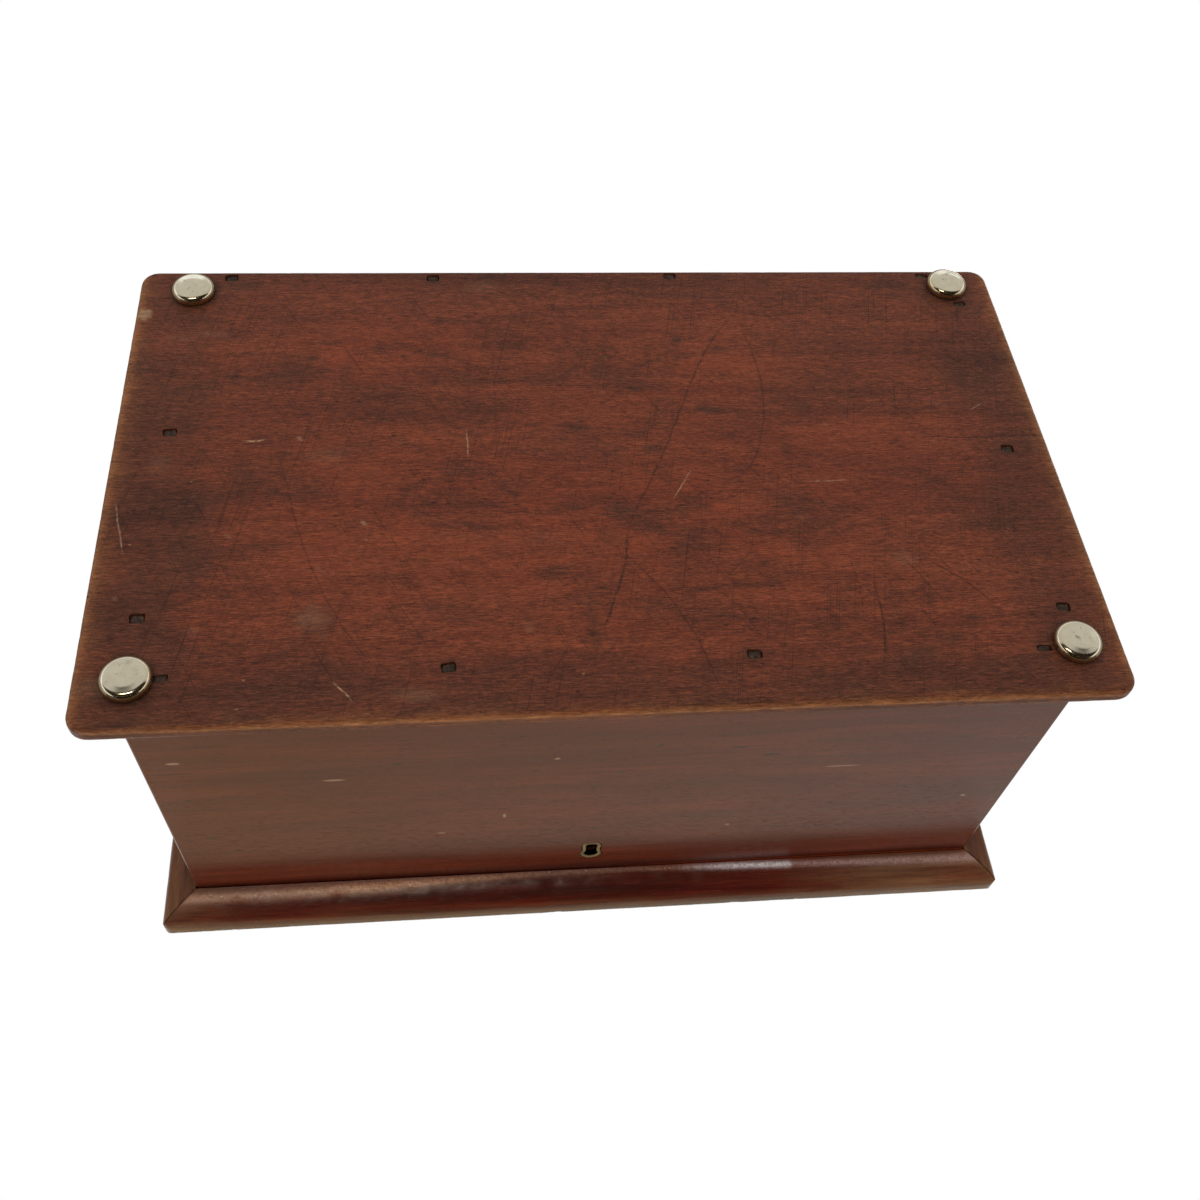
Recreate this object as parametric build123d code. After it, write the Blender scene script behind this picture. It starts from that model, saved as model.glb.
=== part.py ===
from build123d import *

import os
from math import radians, tan

# A document box: a dovetailed case on a nailed base board with four domed glides, a lid with a
# mitred moulding, two butt hinges and a box lock. Millimetres, upright, front towards -Y.

# Base board
base_width = 400.0
base_depth = 241.4
base_thick = 8.0
base_corner_radius = 8.0
base_arris_radius = 2.6

# Case: the base board stands out past its front and sides and is flush at its back
front_overhang = 13.4
side_overhang = 13.6
case_height = 170.0
front_thick = 12.7
side_thick = 12.0
back_thick = 11.0
case_arris_radius = 1.0

# Dovetails: tails on the side boards, half blind at the front and through at the back
front_lap = 3.7
tail_pitch = 42.5
tail_gap = 6.0
tail_slope = 1 / 7

# Lid panel and its moulding, which hangs below the joint as a lip
lid_thick = 12.7
lid_arris_radius = 0.8
seat_gap = 0.25
lip_gap = 0.4
moulding_height = 17.5
moulding_projection = 15.5
moulding_ovolo_radius = 10.5
moulding_top_radius = 3.5
moulding_corner_radius = 4.0

# Domed glides: distances in from the nearest side edge and from the front or back edge
glide_radius = 9.5
glide_height = 4.6
glide_wall = 0.8
glide_shoulder = 2.6
glide_crown = 0.5
glide_flat_radius = 4.0
glide_prongs = 3
prong_length = 6.0
prong_width = 3.0
prong_thick = 0.7
glide_turn = 90.0
glide_insets = {
    "front_left": (19.6, 22.6),
    "front_right": (20.1, 20.4),
    "back_left": (22.0, 12.5),
    "back_right": (24.4, 14.6),
}

# Cut nails of the base board, sunk in pockets
nail_head = (5.2, 3.6, 1.1)
nail_neck = (3.0, 2.3)
nail_tip = (1.8, 1.4)
nail_length = 30.0
nail_sunk = 0.6
nail_pocket_ease = 0.35
# Driven by hand, so each has a station along its wall, a wander across the wall's middle line and
# a turn in degrees. Stations are from the middle of the wall, and at the corners from the case's end.
front_nails = [(-51.9, 3.2, 4.0), (64.2, 1.9, -6.0)]
back_nails = [(-43.9, 1.2, 5.0), (68.0, 0.1, -4.0)]
left_nails = [(-87.1, 0.0, 6.0), (-2.9, 0.0, 2.0), (89.5, 1.6, -5.0)]
right_nails = [(-79.5, -0.9, -8.0), (14.0, -3.1, -3.0)]
corner_nails = {
    "front_left": (19.4, 1.5, 3.0),
    "front_right": (18.1, 1.4, -5.0),
    "back_left": (18.6, 1.0, 2.0),
    "back_right": (26.8, 0.6, -3.0),
}

# Lock: the keyhole is a little off the middle
key_x = 1.8
pin_depth = 21.7
keyhole_radius = 3.3
keyhole_waist = 4.8
keyhole_foot = 5.8
keyhole_height = 12.9
keyhole_foot_radius = 1.2
liner_wall = 1.9
liner_depth = 3.4
lock_width = 66.0
lock_height = 36.0
lock_plate_thick = 1.5
lock_case_width = 52.0
lock_case_height = 31.5
lock_case_wall = 0.9
lock_room = 5.6
lock_fit = 0.1
drill_pin_radius = 1.3
drill_pin_point = 0.5
ward_radius = 5.2
ward_thick = 0.8
ward_height = 1.5
ward_opening = 60.0

# Bolt, its two guide studs and its spring
bolt_throw = 6.0
bolt_thick = 2.2
bolt_bar_height = 6.3
bolt_bar_left = 22.5
bolt_bar_right = 18.5
finger_height = 2.7
finger_start = 0.6
finger_post = 3.0
bolt_clear = 0.3
stud_radius = 1.2
stud_shoulder_radius = 2.0
stud_fit = 0.08
stud_places = (-13.0, 15.0)
talon_width = 8.0
talon_depth = 3.6
spring_thick = 0.4
spring_width = 1.8
spring_span = 8.5
spring_foot = 3.0
spring_bow = 0.6

# Link plate and its two staples
staple_spacing = 24.0
staple_thick = 2.4
staple_width = 5.0
staple_drop = 9.2
staple_eye = (2.8, 3.2)
staple_foot_wall = 1.4
staple_slot_ease = 0.45
link_plate_width = lock_case_width
link_plate_depth = 9.0
link_plate_thick = 1.4

# Butt hinges: the barrels stand behind the back board
hinge_length = 50.0
hinge_inset = 58.0
leaf_thick = 1.5
leaf_reach = 9.2
leaf_screw_stagger = 0.9
knuckle_radius = 2.5
knuckle_count = 5
knuckle_gap = 0.2
hinge_standoff = 2.8
hinge_pin_radius = 1.2
hinge_pin_fit = 0.05

# Screws: head radius, head depth, shank radius, length
leaf_screw = (2.3, 1.2, 1.1, 9.5)
lock_screw = (2.2, 1.1, 1.0, 8.0)
link_screw = (1.9, 1.1, 0.9, 8.5)
screw_slot = (0.5, 0.5)
screw_tip = 2.0
hole_ease = 0.03

# Panel pins of the moulding: places along each strip, from the middle or from the front corner
moulding_pin_radius = 0.8
moulding_pin_head_radius = 1.3
moulding_pin_head = 0.6
moulding_pin_length = 22.0
moulding_pin_sunk = 0.4
front_pins = (-46.0, 59.0)
side_pins = (22.0, 185.0)

# Places worked out from the sizes
case_width = base_width - 2 * side_overhang
case_depth = base_depth - front_overhang
front_reach = max(front_overhang, lip_gap + moulding_projection)
hinge_reach = hinge_standoff + knuckle_radius
back_y = (case_depth + front_reach - hinge_reach) / 2
front_y = back_y - case_depth
side_x = case_width / 2
front_inner_y = front_y + front_thick
back_inner_y = back_y - back_thick
side_inner_x = side_x - side_thick
wall_z = glide_height + base_thick
joint_z = wall_z + case_height
lid_z = joint_z + seat_gap
top_z = lid_z + lid_thick
lip_z = top_z - moulding_height
lid_x = side_x + lip_gap
lid_front_y = front_y - lip_gap
axis_y = back_y + hinge_standoff
axis_z = joint_z + seat_gap / 2
lock_depth = lock_plate_thick + lock_room + lock_case_wall
tail_count = max(1, round(case_height / tail_pitch))

SIDES = {"left": -1, "right": 1}


def block(x0, x1, y0, y1, z0, z1):
    """A box between two corners."""
    middle = ((x0 + x1) / 2, (y0 + y1) / 2, (z0 + z1) / 2)
    return Pos(*middle) * Box(abs(x1 - x0), abs(y1 - y0), abs(z1 - z0))


def prism(points, plane, depth):
    """A closed outline on a plane, extruded along the plane's normal."""
    return extrude(plane * make_face(Polyline(*points, close=True)), depth, dir=plane.z_dir)


def rod(start, direction, length, radius):
    """A round bar from a point along a direction."""
    return Plane(start, z_dir=direction) * extrude(Circle(radius), length)


def group(parts):
    """Several separate solids in one node."""
    return Compound([solid for part in parts for solid in part.solids()])


def corner_side(corner):
    """-1 for a left corner and 1 for a right one."""
    return SIDES[corner.split("_")[1]]


def screw(place, direction, sizes, ease=0.0, slotted=True):
    """A countersunk screw with its head flush at a place, driven along a direction."""
    head_radius, head_depth, shank_radius, length = sizes
    wide, shank = head_radius + ease, shank_radius + ease
    profile = [
        (0, 0),
        (wide, 0),
        (shank, head_depth),
        (shank, length - screw_tip),
        (0, length + ease),
    ]
    body = revolve(Plane.XZ * make_face(Polyline(*profile, close=True)), Axis.Z)
    if slotted:
        width, depth = screw_slot
        body -= Box(3 * head_radius, width, 2 * depth)
    return Plane(place, z_dir=direction) * body


# Case boards


def tails(x0, x1, shoulder_y, tip_y):
    """The row of dovetails on one end of a side board, wider at their tips."""
    pitch = case_height / tail_count
    half_tip = (pitch - tail_gap) / 2
    half_shoulder = half_tip - tail_slope * abs(tip_y - shoulder_y)
    row = []
    for number in range(tail_count):
        middle = wall_z + (number + 0.5) * pitch
        outline = [
            (shoulder_y, middle - half_shoulder),
            (tip_y, middle - half_tip),
            (tip_y, middle + half_tip),
            (shoulder_y, middle + half_shoulder),
        ]
        row.append(prism(outline, Plane.YZ.offset(x0), x1 - x0))
    return row


def corner_tails(side, end):
    """The tails at one corner of the case."""
    inner, outer = sorted((side * side_inner_x, side * side_x))
    if end == "front":
        return tails(inner, outer, front_inner_y, front_y + front_lap)
    return tails(inner, outer, back_inner_y, back_y)


def side_board(side):
    inner, outer = sorted((side * side_inner_x, side * side_x))
    board = block(inner, outer, front_inner_y, back_inner_y, wall_z, joint_z)
    for end in ("front", "back"):
        for tail in corner_tails(side, end):
            board += tail
    return board - nail_holes()


def front_board():
    board = block(-side_x, side_x, front_y, front_inner_y, wall_z, joint_z)
    corners = board.edges().filter_by(Axis.Z).group_by(Axis.Y)[0]
    board = fillet(corners, case_arris_radius)
    for side in SIDES.values():
        for tail in corner_tails(side, "front"):
            board -= tail
    board -= lock_mortise()
    board -= lock_prism(keyhole_face(0), 0, front_thick)
    board -= lock_prism(keyhole_face(liner_wall), front_thick - liner_depth, front_thick)
    for place in lock_screw_places():
        board -= screw(place, (0, -1, 0), lock_screw, hole_ease, False)
    return board - nail_holes()


def back_board():
    board = block(-side_x, side_x, back_inner_y, back_y, wall_z, joint_z)
    for side in SIDES.values():
        for tail in corner_tails(side, "back"):
            board -= tail
        start, end = hinge_span(side)
        board -= block(start, end, back_y - leaf_reach, back_y, joint_z - leaf_thick, joint_z)
        for place in leaf_screw_places(side, joint_z):
            board -= screw(place, (0, 0, -1), leaf_screw, hole_ease, False)
    return board - nail_holes()


def base_board():
    front_edge = back_y - base_depth
    half = base_width / 2
    board = block(-half, half, front_edge, back_y, glide_height, wall_z)
    board = fillet(board.edges().filter_by(Axis.Z), base_corner_radius)
    arrises = board.faces().sort_by(Axis.Z)[0].edges() + board.faces().sort_by(Axis.Z)[-1].edges()
    board = fillet(arrises, base_arris_radius)
    for corner in glide_insets:
        for prong in glide_prong_row(corner):
            board -= prong
    return with_floor_face(board - nail_holes() - nail_pockets())


def with_floor_face(board):
    """The same board, with the floor between the walls as a face of its own."""
    faces = board.faces().sort_by(Axis.Z)
    middle = Pos(0, (front_inner_y + back_inner_y) / 2, wall_z)
    floor = middle * Rectangle(2 * side_inner_x, back_inner_y - front_inner_y)
    rim = Sketch() + faces[-1] - floor
    return Solid(Shell(faces[:-1] + rim.faces() + floor.faces()))


# Nails of the base board


def nail_places():
    """Every nail's place in plan and its turn."""
    front_line = front_y + front_thick / 2
    back_line = back_y - back_thick / 2
    side_line = side_x - side_thick / 2
    middle_y = (front_y + back_y) / 2
    places = [(x, front_line + wander, turn) for x, wander, turn in front_nails]
    places += [(x, back_line + wander, turn) for x, wander, turn in back_nails]
    places += [(-side_line - wander, middle_y + y, turn) for y, wander, turn in left_nails]
    places += [(side_line + wander, middle_y + y, turn) for y, wander, turn in right_nails]
    for corner, (inset, wander, turn) in corner_nails.items():
        line = front_line if corner.startswith("front") else back_line
        places.append((corner_side(corner) * (side_x - inset), line + wander, turn))
    return places


def nail_shank(ease):
    """The tapered shank of a cut nail, from the base board's face upwards."""
    neck = Rectangle(nail_neck[0] + 2 * ease, nail_neck[1] + 2 * ease)
    tip = Rectangle(nail_tip[0] + 2 * ease, nail_tip[1] + 2 * ease)
    return loft([neck, Pos(0, 0, nail_length + ease) * tip])


def at_nails(shape):
    """A copy of a shape at every nail, its foot at the nail's head."""
    level = glide_height + nail_sunk
    return [Pos(x, y, level) * Rot(0, 0, turn) * shape for x, y, turn in nail_places()]


def nail_holes():
    return Compound(at_nails(nail_shank(hole_ease)))


def nail_pockets():
    width, depth, thick = nail_head
    ease = 2 * nail_pocket_ease
    pocket = Box(width + ease, depth + ease, 2 * (thick + hole_ease))
    mouth = Pos(0, 0, -nail_sunk) * Box(width + ease, depth + ease, 2 * nail_sunk)
    return Compound(at_nails(pocket + mouth))


def base_nails():
    width, depth, thick = nail_head
    head = Pos(0, 0, thick / 2) * Box(width, depth, thick)
    head = chamfer(head.faces().sort_by(Axis.Z)[0].edges(), thick / 3)
    return group(at_nails(head + nail_shank(0)))


# Glides


def glide_place(corner):
    """Where the middle of a glide meets the base board."""
    side = corner_side(corner)
    inset_x, inset_y = glide_insets[corner]
    front_edge = back_y - base_depth
    y = front_edge + inset_y if corner.startswith("front") else back_y - inset_y
    return Pos(side * (base_width / 2 - inset_x), y, glide_height)


def glide_skin(inset):
    """The dome's outer shape, hanging from the board, or its hollow at a wall's inset."""
    radius, height = glide_radius - inset, glide_height - inset
    shoulder = glide_shoulder - inset / 2
    crown = glide_crown * radius / glide_radius
    low = -height
    turn = radius - shoulder
    outline = Polyline((0, 0), (0, low), (glide_flat_radius, low))
    outline += ThreePointArc(
        (glide_flat_radius, low),
        ((glide_flat_radius + turn) / 2, low + crown / 3),
        (turn, low + crown),
    )
    outline += RadiusArc((turn, low + crown), (radius, low + crown + shoulder), -shoulder)
    outline += Polyline((radius, low + crown + shoulder), (radius, 0), (0, 0))
    return revolve(Plane.XZ * make_face(outline), Axis.Z)


def glide_prong_row(corner):
    """The flat pointed prongs under the rim of one glide."""
    ring = glide_radius - glide_wall / 2
    half = prong_width / 2
    outline = [(-half, 0), (half, 0), (half / 4, prong_length), (-half / 4, prong_length)]
    row = []
    for number in range(glide_prongs):
        plane = Plane((ring - prong_thick / 2, 0, 0), x_dir=(0, 1, 0), z_dir=(1, 0, 0))
        prong = prism(outline, plane, prong_thick)
        angle = 360 / glide_prongs * number + glide_turn
        row.append(glide_place(corner) * Rot(0, 0, angle) * prong)
    return row


def glide(corner):
    dome = glide_place(corner) * (glide_skin(0) - glide_skin(glide_wall))
    for prong in glide_prong_row(corner):
        dome += prong
    return dome


# Lock, placed from the top of the front board's inner face


def lock_plane(depth):
    """Drawn upright, looking from inside the box; depth grows towards the front."""
    return Plane((key_x, front_inner_y - depth, joint_z), x_dir=(1, 0, 0), z_dir=(0, -1, 0))


def lock_block(u0, u1, v0, v1, w0, w1):
    """A box in the lock: u sideways, v up from the joint, w towards the front."""
    near, far = front_inner_y - w0, front_inner_y - w1
    return block(key_x + u0, key_x + u1, far, near, joint_z + v0, joint_z + v1)


def lock_prism(face, w0, w1):
    """A face drawn in the lock's plane, extruded towards the front."""
    return extrude(lock_plane(w0) * face, w1 - w0, dir=(0, -1, 0))


def lock_rod(u, v, w0, w1, radius):
    return lock_prism(Pos(u, v) * Circle(radius), w0, w1)


def keyhole_face(grow):
    """The keyhole: a round head towards the lid and a foot that widens downwards."""
    foot = -pin_depth + keyhole_radius - keyhole_height
    slot = Polyline(
        (-keyhole_waist / 2, -pin_depth),
        (-keyhole_foot / 2, foot),
        (keyhole_foot / 2, foot),
        (keyhole_waist / 2, -pin_depth),
        close=True,
    )
    slot = make_face(slot)
    slot = fillet(slot.vertices().group_by(Axis.Y)[0], keyhole_foot_radius)
    face = Pos(0, -pin_depth) * Circle(keyhole_radius) + slot
    if grow:
        face = offset(face, grow, kind=Kind.ARC)
    return face


def keyhole_escutcheon():
    liner = lock_prism(keyhole_face(liner_wall), front_thick - liner_depth, front_thick)
    return liner - lock_prism(keyhole_face(0), 0, front_thick)


def lock_mortise():
    """The hollow in the front board: plate, selvedge and cap, each with its fit."""
    half, case_half = lock_width / 2 + lock_fit, lock_case_width / 2 + lock_fit
    hollow = lock_block(-half, half, -lock_height - lock_fit, 0, 0, lock_plate_thick)
    hollow += lock_block(-half, half, -lock_plate_thick, 0, 0, lock_depth + lock_fit)
    drop = -lock_plate_thick - lock_case_height - lock_fit
    hollow += lock_block(-case_half, case_half, drop, 0, 0, lock_depth + lock_fit)
    return hollow


def staple_places():
    """Sideways places of the two staples in the lock."""
    return (-staple_spacing / 2, staple_spacing / 2)


def lock_middle_depth():
    """How far the middle of the bolt is from the front board's inner face."""
    return lock_plate_thick + lock_room / 2


def lock_backplate():
    half = lock_width / 2
    plate = lock_block(-half, half, -lock_height, 0, 0, lock_plate_thick)
    plate += lock_block(-half, half, -lock_plate_thick, 0, 0, lock_depth)
    middle = lock_middle_depth()
    slot_half = staple_thick / 2 + staple_slot_ease
    slot_reach = staple_width / 2 + staple_slot_ease
    for place in staple_places():
        plate -= lock_block(
            place - slot_half,
            place + slot_half,
            -2 * lock_plate_thick,
            0,
            middle - slot_reach,
            middle + slot_reach,
        )
    for place in stud_places:
        plate -= lock_rod(place, bolt_middle_v(), 0, lock_plate_thick, stud_radius)
    plate -= lock_rod(0, -pin_depth, 0, lock_plate_thick, drill_pin_radius)
    for place in lock_screw_places():
        plate -= screw(place, (0, -1, 0), lock_screw, hole_ease, False)
    return plate


def lock_cap():
    half = lock_case_width / 2
    top = -lock_plate_thick
    wall = lock_case_wall
    cap = lock_block(-half, half, top - lock_case_height, top, lock_plate_thick, lock_depth)
    room = top - lock_case_height + wall
    cap -= lock_block(-half + wall, half - wall, room, top, lock_plate_thick, lock_depth - wall)
    for place in stud_places:
        cap -= lock_rod(place, bolt_middle_v(), lock_depth - wall, lock_depth, stud_radius)
    return cap - lock_prism(keyhole_face(lock_fit), lock_plate_thick, lock_depth)


def lock_guide_studs():
    middle = bolt_middle_v()
    shoulder = lock_middle_depth() - bolt_thick / 2 - stud_fit
    studs = []
    for place in stud_places:
        stud = lock_rod(place, middle, 0, lock_depth, stud_radius)
        stud += lock_rod(place, middle, lock_plate_thick, shoulder, stud_shoulder_radius)
        studs.append(stud)
    return group(studs)


def lock_drill_pin():
    tip = lock_depth - lock_case_wall + drill_pin_point
    pin = lock_rod(0, -pin_depth, 0, tip, drill_pin_radius)
    return chamfer(pin.edges().sort_by(Axis.Y)[0], drill_pin_point)


def lock_ward():
    """A curved ward around the drill pin, open where the key goes in."""
    top = lock_plate_thick + ward_height
    centre = Pos(0, -pin_depth)
    ring = centre * (Circle(ward_radius) - Circle(ward_radius - ward_thick))
    reach = 2 * ward_radius
    spread = reach * tan(radians(ward_opening / 2))
    wedge = make_face(Polyline((0, 0), (-spread, -reach), (spread, -reach), close=True))
    return lock_prism(ring - centre * wedge, lock_plate_thick, top)


def lock_screw_places():
    """Heads of the four lock screws, on the inner face of the backplate."""
    side = (lock_width + lock_case_width) / 4
    low = lock_height - lock_screw[0] - lock_plate_thick
    high = lock_plate_thick + lock_screw[0] + 2 * lock_plate_thick
    places = []
    for u in (-side, side):
        for v in (-low, -high):
            places.append((key_x + u, front_inner_y, joint_z + v))
    return places


def lock_screws():
    return group([screw(place, (0, -1, 0), lock_screw) for place in lock_screw_places()])


# Bolt


def finger_v():
    """Height of the middle of the fingers, which is that of the eyes in the staples."""
    return -staple_drop + staple_foot_wall + staple_eye[1] / 2


def bar_top_v():
    return -staple_drop - bolt_clear


def bolt_middle_v():
    return bar_top_v() - bolt_bar_height / 2


def lock_bolt():
    near = lock_middle_depth() - bolt_thick / 2
    far = near + bolt_thick
    top = bar_top_v()
    bolt = lock_block(-bolt_bar_left, bolt_bar_right, top - bolt_bar_height, top, near, far)
    finger_top = finger_v() + finger_height / 2
    for place in staple_places():
        tip = place - staple_thick / 2 - finger_start
        post = tip + finger_start - bolt_throw - bolt_clear
        bolt += lock_block(post - finger_post, post, top, finger_top, near, far)
        bolt += lock_block(post, tip, finger_top - finger_height, finger_top, near, far)
    middle = bolt_middle_v()
    slot = stud_radius + stud_fit
    for place in stud_places:
        left, right = place - bolt_throw - stud_fit, place + stud_fit
        bolt -= lock_block(left, right, middle - slot, middle + slot, near, far)
        bolt -= lock_rod(left, middle, near, far, slot)
        bolt -= lock_rod(right, middle, near, far, slot)
    notch = -bolt_throw / 2
    foot = top - bolt_bar_height
    half = talon_width / 2
    bolt -= lock_block(notch - half, notch + half, foot, foot + talon_depth - slot, near, far)
    return bolt


def bolt_spring():
    """A bowed leaf on top of the bar, pressing on the underside of the selvedge."""
    near = lock_middle_depth() - spring_width / 2
    low = bar_top_v()
    high = -lock_plate_thick - bolt_clear
    right = spring_foot / 2
    left = right - spring_foot
    end = left - spring_span
    rise = high - low
    bow = (left - spring_span / 2, low + spring_thick + spring_bow * rise)
    top = [(left, low + spring_thick), bow, (end, high)]
    under = [(x, z - spring_thick) for x, z in top]
    outline = Polyline((right, low), (right, low + spring_thick), top[0])
    outline += ThreePointArc(*top)
    outline += Line(top[-1], under[-1])
    outline += ThreePointArc(*reversed(under))
    outline += Line(under[0], (right, low))
    return lock_prism(make_face(outline), near, near + spring_width)


# Lid


def lid_outline(reach):
    """Plan of the lid, grown past the panel at the front and sides."""
    x, front = lid_x + reach, lid_front_y - reach
    return Polyline((-x, back_y), (-x, front), (x, front), (x, back_y), close=True)


def lid_panel():
    panel = block(-lid_x, lid_x, lid_front_y, back_y, lid_z, top_z)
    back_edges = panel.edges().filter_by(Axis.X).group_by(Axis.Y)[-1]
    panel = fillet(back_edges.sort_by(Axis.Z)[-1], lid_arris_radius)
    for side in SIDES.values():
        start, end = hinge_span(side)
        panel -= block(start, end, back_y - leaf_reach, back_y, lid_z, lid_z + leaf_thick)
        for place in leaf_screw_places(side, lid_z):
            panel -= screw(place, (0, 0, 1), leaf_screw, hole_ease, False)
    panel -= link_plate_blank(lock_fit)
    for place in link_screw_places():
        panel -= screw(place, (0, 0, 1), link_screw, hole_ease, False)
    return panel - Compound(all_moulding_pins(hole_ease))


def moulding_section():
    """Section of the moulding: x outwards from the panel, y up."""
    low, reach = lip_z, moulding_projection
    big, small = moulding_ovolo_radius, moulding_top_radius
    outline = Polyline((reach - small, top_z), (0, top_z), (0, low), (reach - big, low))
    outline += RadiusArc((reach - big, low), (reach, low + big), -big)
    outline += Line((reach, low + big), (reach, top_z - small))
    outline += RadiusArc((reach, top_z - small), (reach - small, top_z), -small)
    return make_face(outline)


def moulding_strip(plan, start, x_dir, run_dir, length):
    """A moulded strip along a wall, cut to its mitred plan and rounded at the front corners."""
    plane = Plane(start, x_dir=x_dir, z_dir=run_dir)
    strip = extrude(plane * moulding_section(), length, dir=run_dir)
    height = top_z - lip_z
    strip &= Pos(0, 0, lip_z) * extrude(make_face(Polyline(*plan, close=True)), height)
    outer = make_face(lid_outline(moulding_projection))
    outer = fillet(outer.vertices().group_by(Axis.Y)[0], moulding_corner_radius)
    strip &= Pos(0, 0, lip_z) * extrude(outer, height)
    return strip - Compound(all_moulding_pins(hole_ease))


def moulding_front():
    reach = moulding_projection
    x, y = lid_x, lid_front_y
    plan = [(-x, y), (-x - reach, y - reach), (x + reach, y - reach), (x, y)]
    start = (x + reach, y, 0)
    return moulding_strip(plan, start, (0, -1, 0), (-1, 0, 0), 2 * (x + reach))


def moulding_side(side):
    reach = moulding_projection
    x, y = side * lid_x, lid_front_y
    plan = [(x, y), (x + side * reach, y - reach), (x + side * reach, back_y), (x, back_y)]
    length = back_y - y + reach
    if side > 0:
        return moulding_strip(plan, (x, back_y, 0), (1, 0, 0), (0, -1, 0), length)
    return moulding_strip(plan, (x, y - reach, 0), (-1, 0, 0), (0, 1, 0), length)


def moulding_pin(start, direction, ease):
    """A panel pin, driven in until its head is just under the surface."""
    sunk, head = moulding_pin_sunk, moulding_pin_head
    if ease:
        head_start, head_length = -sunk, sunk + head
    else:
        head_start, head_length = 0, head
    profile = [
        (0, head_start),
        (moulding_pin_head_radius + ease, head_start),
        (moulding_pin_head_radius + ease, head_start + head_length),
        (moulding_pin_radius + ease, head_start + head_length),
        (moulding_pin_radius + ease, moulding_pin_length + ease),
        (0, moulding_pin_length + ease),
    ]
    pin = revolve(Plane.XZ * make_face(Polyline(*profile, close=True)), Axis.Z)
    inward = Vector(*direction) * sunk
    return Plane(Vector(*start) + inward, z_dir=direction) * pin


def all_moulding_pins(ease):
    level = (lip_z + moulding_ovolo_radius + top_z - moulding_top_radius) / 2
    reach = moulding_projection
    pins = [
        moulding_pin((x, lid_front_y - reach, level), (0, 1, 0), ease) for x in front_pins
    ]
    for side in SIDES.values():
        for along in side_pins:
            start = (side * (lid_x + reach), front_y + along, level)
            pins.append(moulding_pin(start, (-side, 0, 0), ease))
    return pins


# Link plate on the lid


def link_plate_blank(ease):
    half = link_plate_width / 2 + ease
    middle = lock_middle_depth()
    near, far = middle - link_plate_depth / 2 - ease, middle + link_plate_depth / 2 + ease
    return lock_block(-half, half, seat_gap, seat_gap + link_plate_thick, near, far)


def link_screw_places():
    middle_y = front_inner_y - lock_middle_depth()
    outer = link_plate_width / 2 - 2 * link_screw[0]
    inner = staple_spacing / 4
    return [(key_x + u, middle_y, lid_z) for u in (-outer, -inner, inner, outer)]


def link_plate():
    plate = link_plate_blank(0)
    for place in link_screw_places():
        plate -= screw(place, (0, 0, 1), link_screw, hole_ease, False)
    for shank in staple_shanks():
        plate -= shank
    return plate


def staple_shanks():
    """The riveted ends of the staples, through the link plate."""
    middle = lock_middle_depth()
    half = staple_thick / 2
    inner = staple_width / 4
    return [
        lock_block(
            place - half,
            place + half,
            seat_gap,
            seat_gap + link_plate_thick,
            middle - inner,
            middle + inner,
        )
        for place in staple_places()
    ]


def link_staples():
    middle = lock_middle_depth()
    half, reach = staple_thick / 2, staple_width / 2
    eye_width, eye_height = staple_eye
    staples = []
    for place, shank in zip(staple_places(), staple_shanks()):
        eye = lock_block(
            place - half, place + half, -staple_drop, seat_gap, middle - reach, middle + reach
        )
        foot_edges = eye.edges().filter_by(Axis.X).group_by(Axis.Z)[0]
        eye = fillet(foot_edges, staple_foot_wall)
        eye -= lock_block(
            place - half,
            place + half,
            finger_v() - eye_height / 2,
            finger_v() + eye_height / 2,
            middle - eye_width / 2,
            middle + eye_width / 2,
        )
        staples.append(eye + shank)
    return group(staples)


# Hinges


def hinge_span(side):
    """The two ends of a hinge along the back."""
    near, far = side_x - hinge_inset, side_x - hinge_inset - hinge_length
    return tuple(sorted((side * near, side * far)))


def leaf_screw_places(side, level):
    start, end = hinge_span(side)
    step = (end - start) / 3
    near, far = leaf_reach / 2 - leaf_screw_stagger, leaf_reach / 2 + leaf_screw_stagger
    row = enumerate((near, far, near))
    return [(start + (n + 0.5) * step, back_y - reach, level) for n, reach in row]


def knuckle_spans(side, own):
    """Ends of the knuckles of one leaf: the case leaf has the outer ones."""
    start, end = hinge_span(side)
    step = (end - start) / knuckle_count
    trim = knuckle_gap / 2
    numbers = [n for n in range(knuckle_count) if (n % 2 == 0) == own]
    spans = []
    for number in numbers:
        low = start + number * step + (trim if number > 0 else 0)
        high = start + (number + 1) * step - (trim if number < knuckle_count - 1 else 0)
        spans.append((low, high))
    return spans


def hinge_leaf(side, on_case):
    start, end = hinge_span(side)
    face = joint_z if on_case else lid_z
    away = -leaf_thick if on_case else leaf_thick
    leaf = block(start, end, back_y - leaf_reach, axis_y, face, face + away)
    for low, high in knuckle_spans(side, not on_case):
        start_x, length = low - knuckle_gap, high - low + 2 * knuckle_gap
        leaf -= rod((start_x, axis_y, axis_z), (1, 0, 0), length, knuckle_radius + knuckle_gap)
    for low, high in knuckle_spans(side, on_case):
        leaf += rod((low, axis_y, axis_z), (1, 0, 0), high - low, knuckle_radius)
    leaf -= rod((start, axis_y, axis_z), (1, 0, 0), end - start, hinge_pin_radius + hinge_pin_fit)
    direction = (0, 0, -1) if on_case else (0, 0, 1)
    for place in leaf_screw_places(side, face):
        leaf -= screw(place, direction, leaf_screw, hole_ease, False)
    return leaf


def hinge_pin(side):
    start, end = hinge_span(side)
    pin = rod((start, axis_y, axis_z), (1, 0, 0), end - start, hinge_pin_radius)
    ends = pin.edges().filter_by(GeomType.CIRCLE)
    return chamfer(ends, hinge_pin_radius / 4)


def hinge_screws(level, direction):
    screws = []
    for side in SIDES.values():
        for place in leaf_screw_places(side, level):
            screws.append(screw(place, direction, leaf_screw))
    return group(screws)


# Nodes


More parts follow.
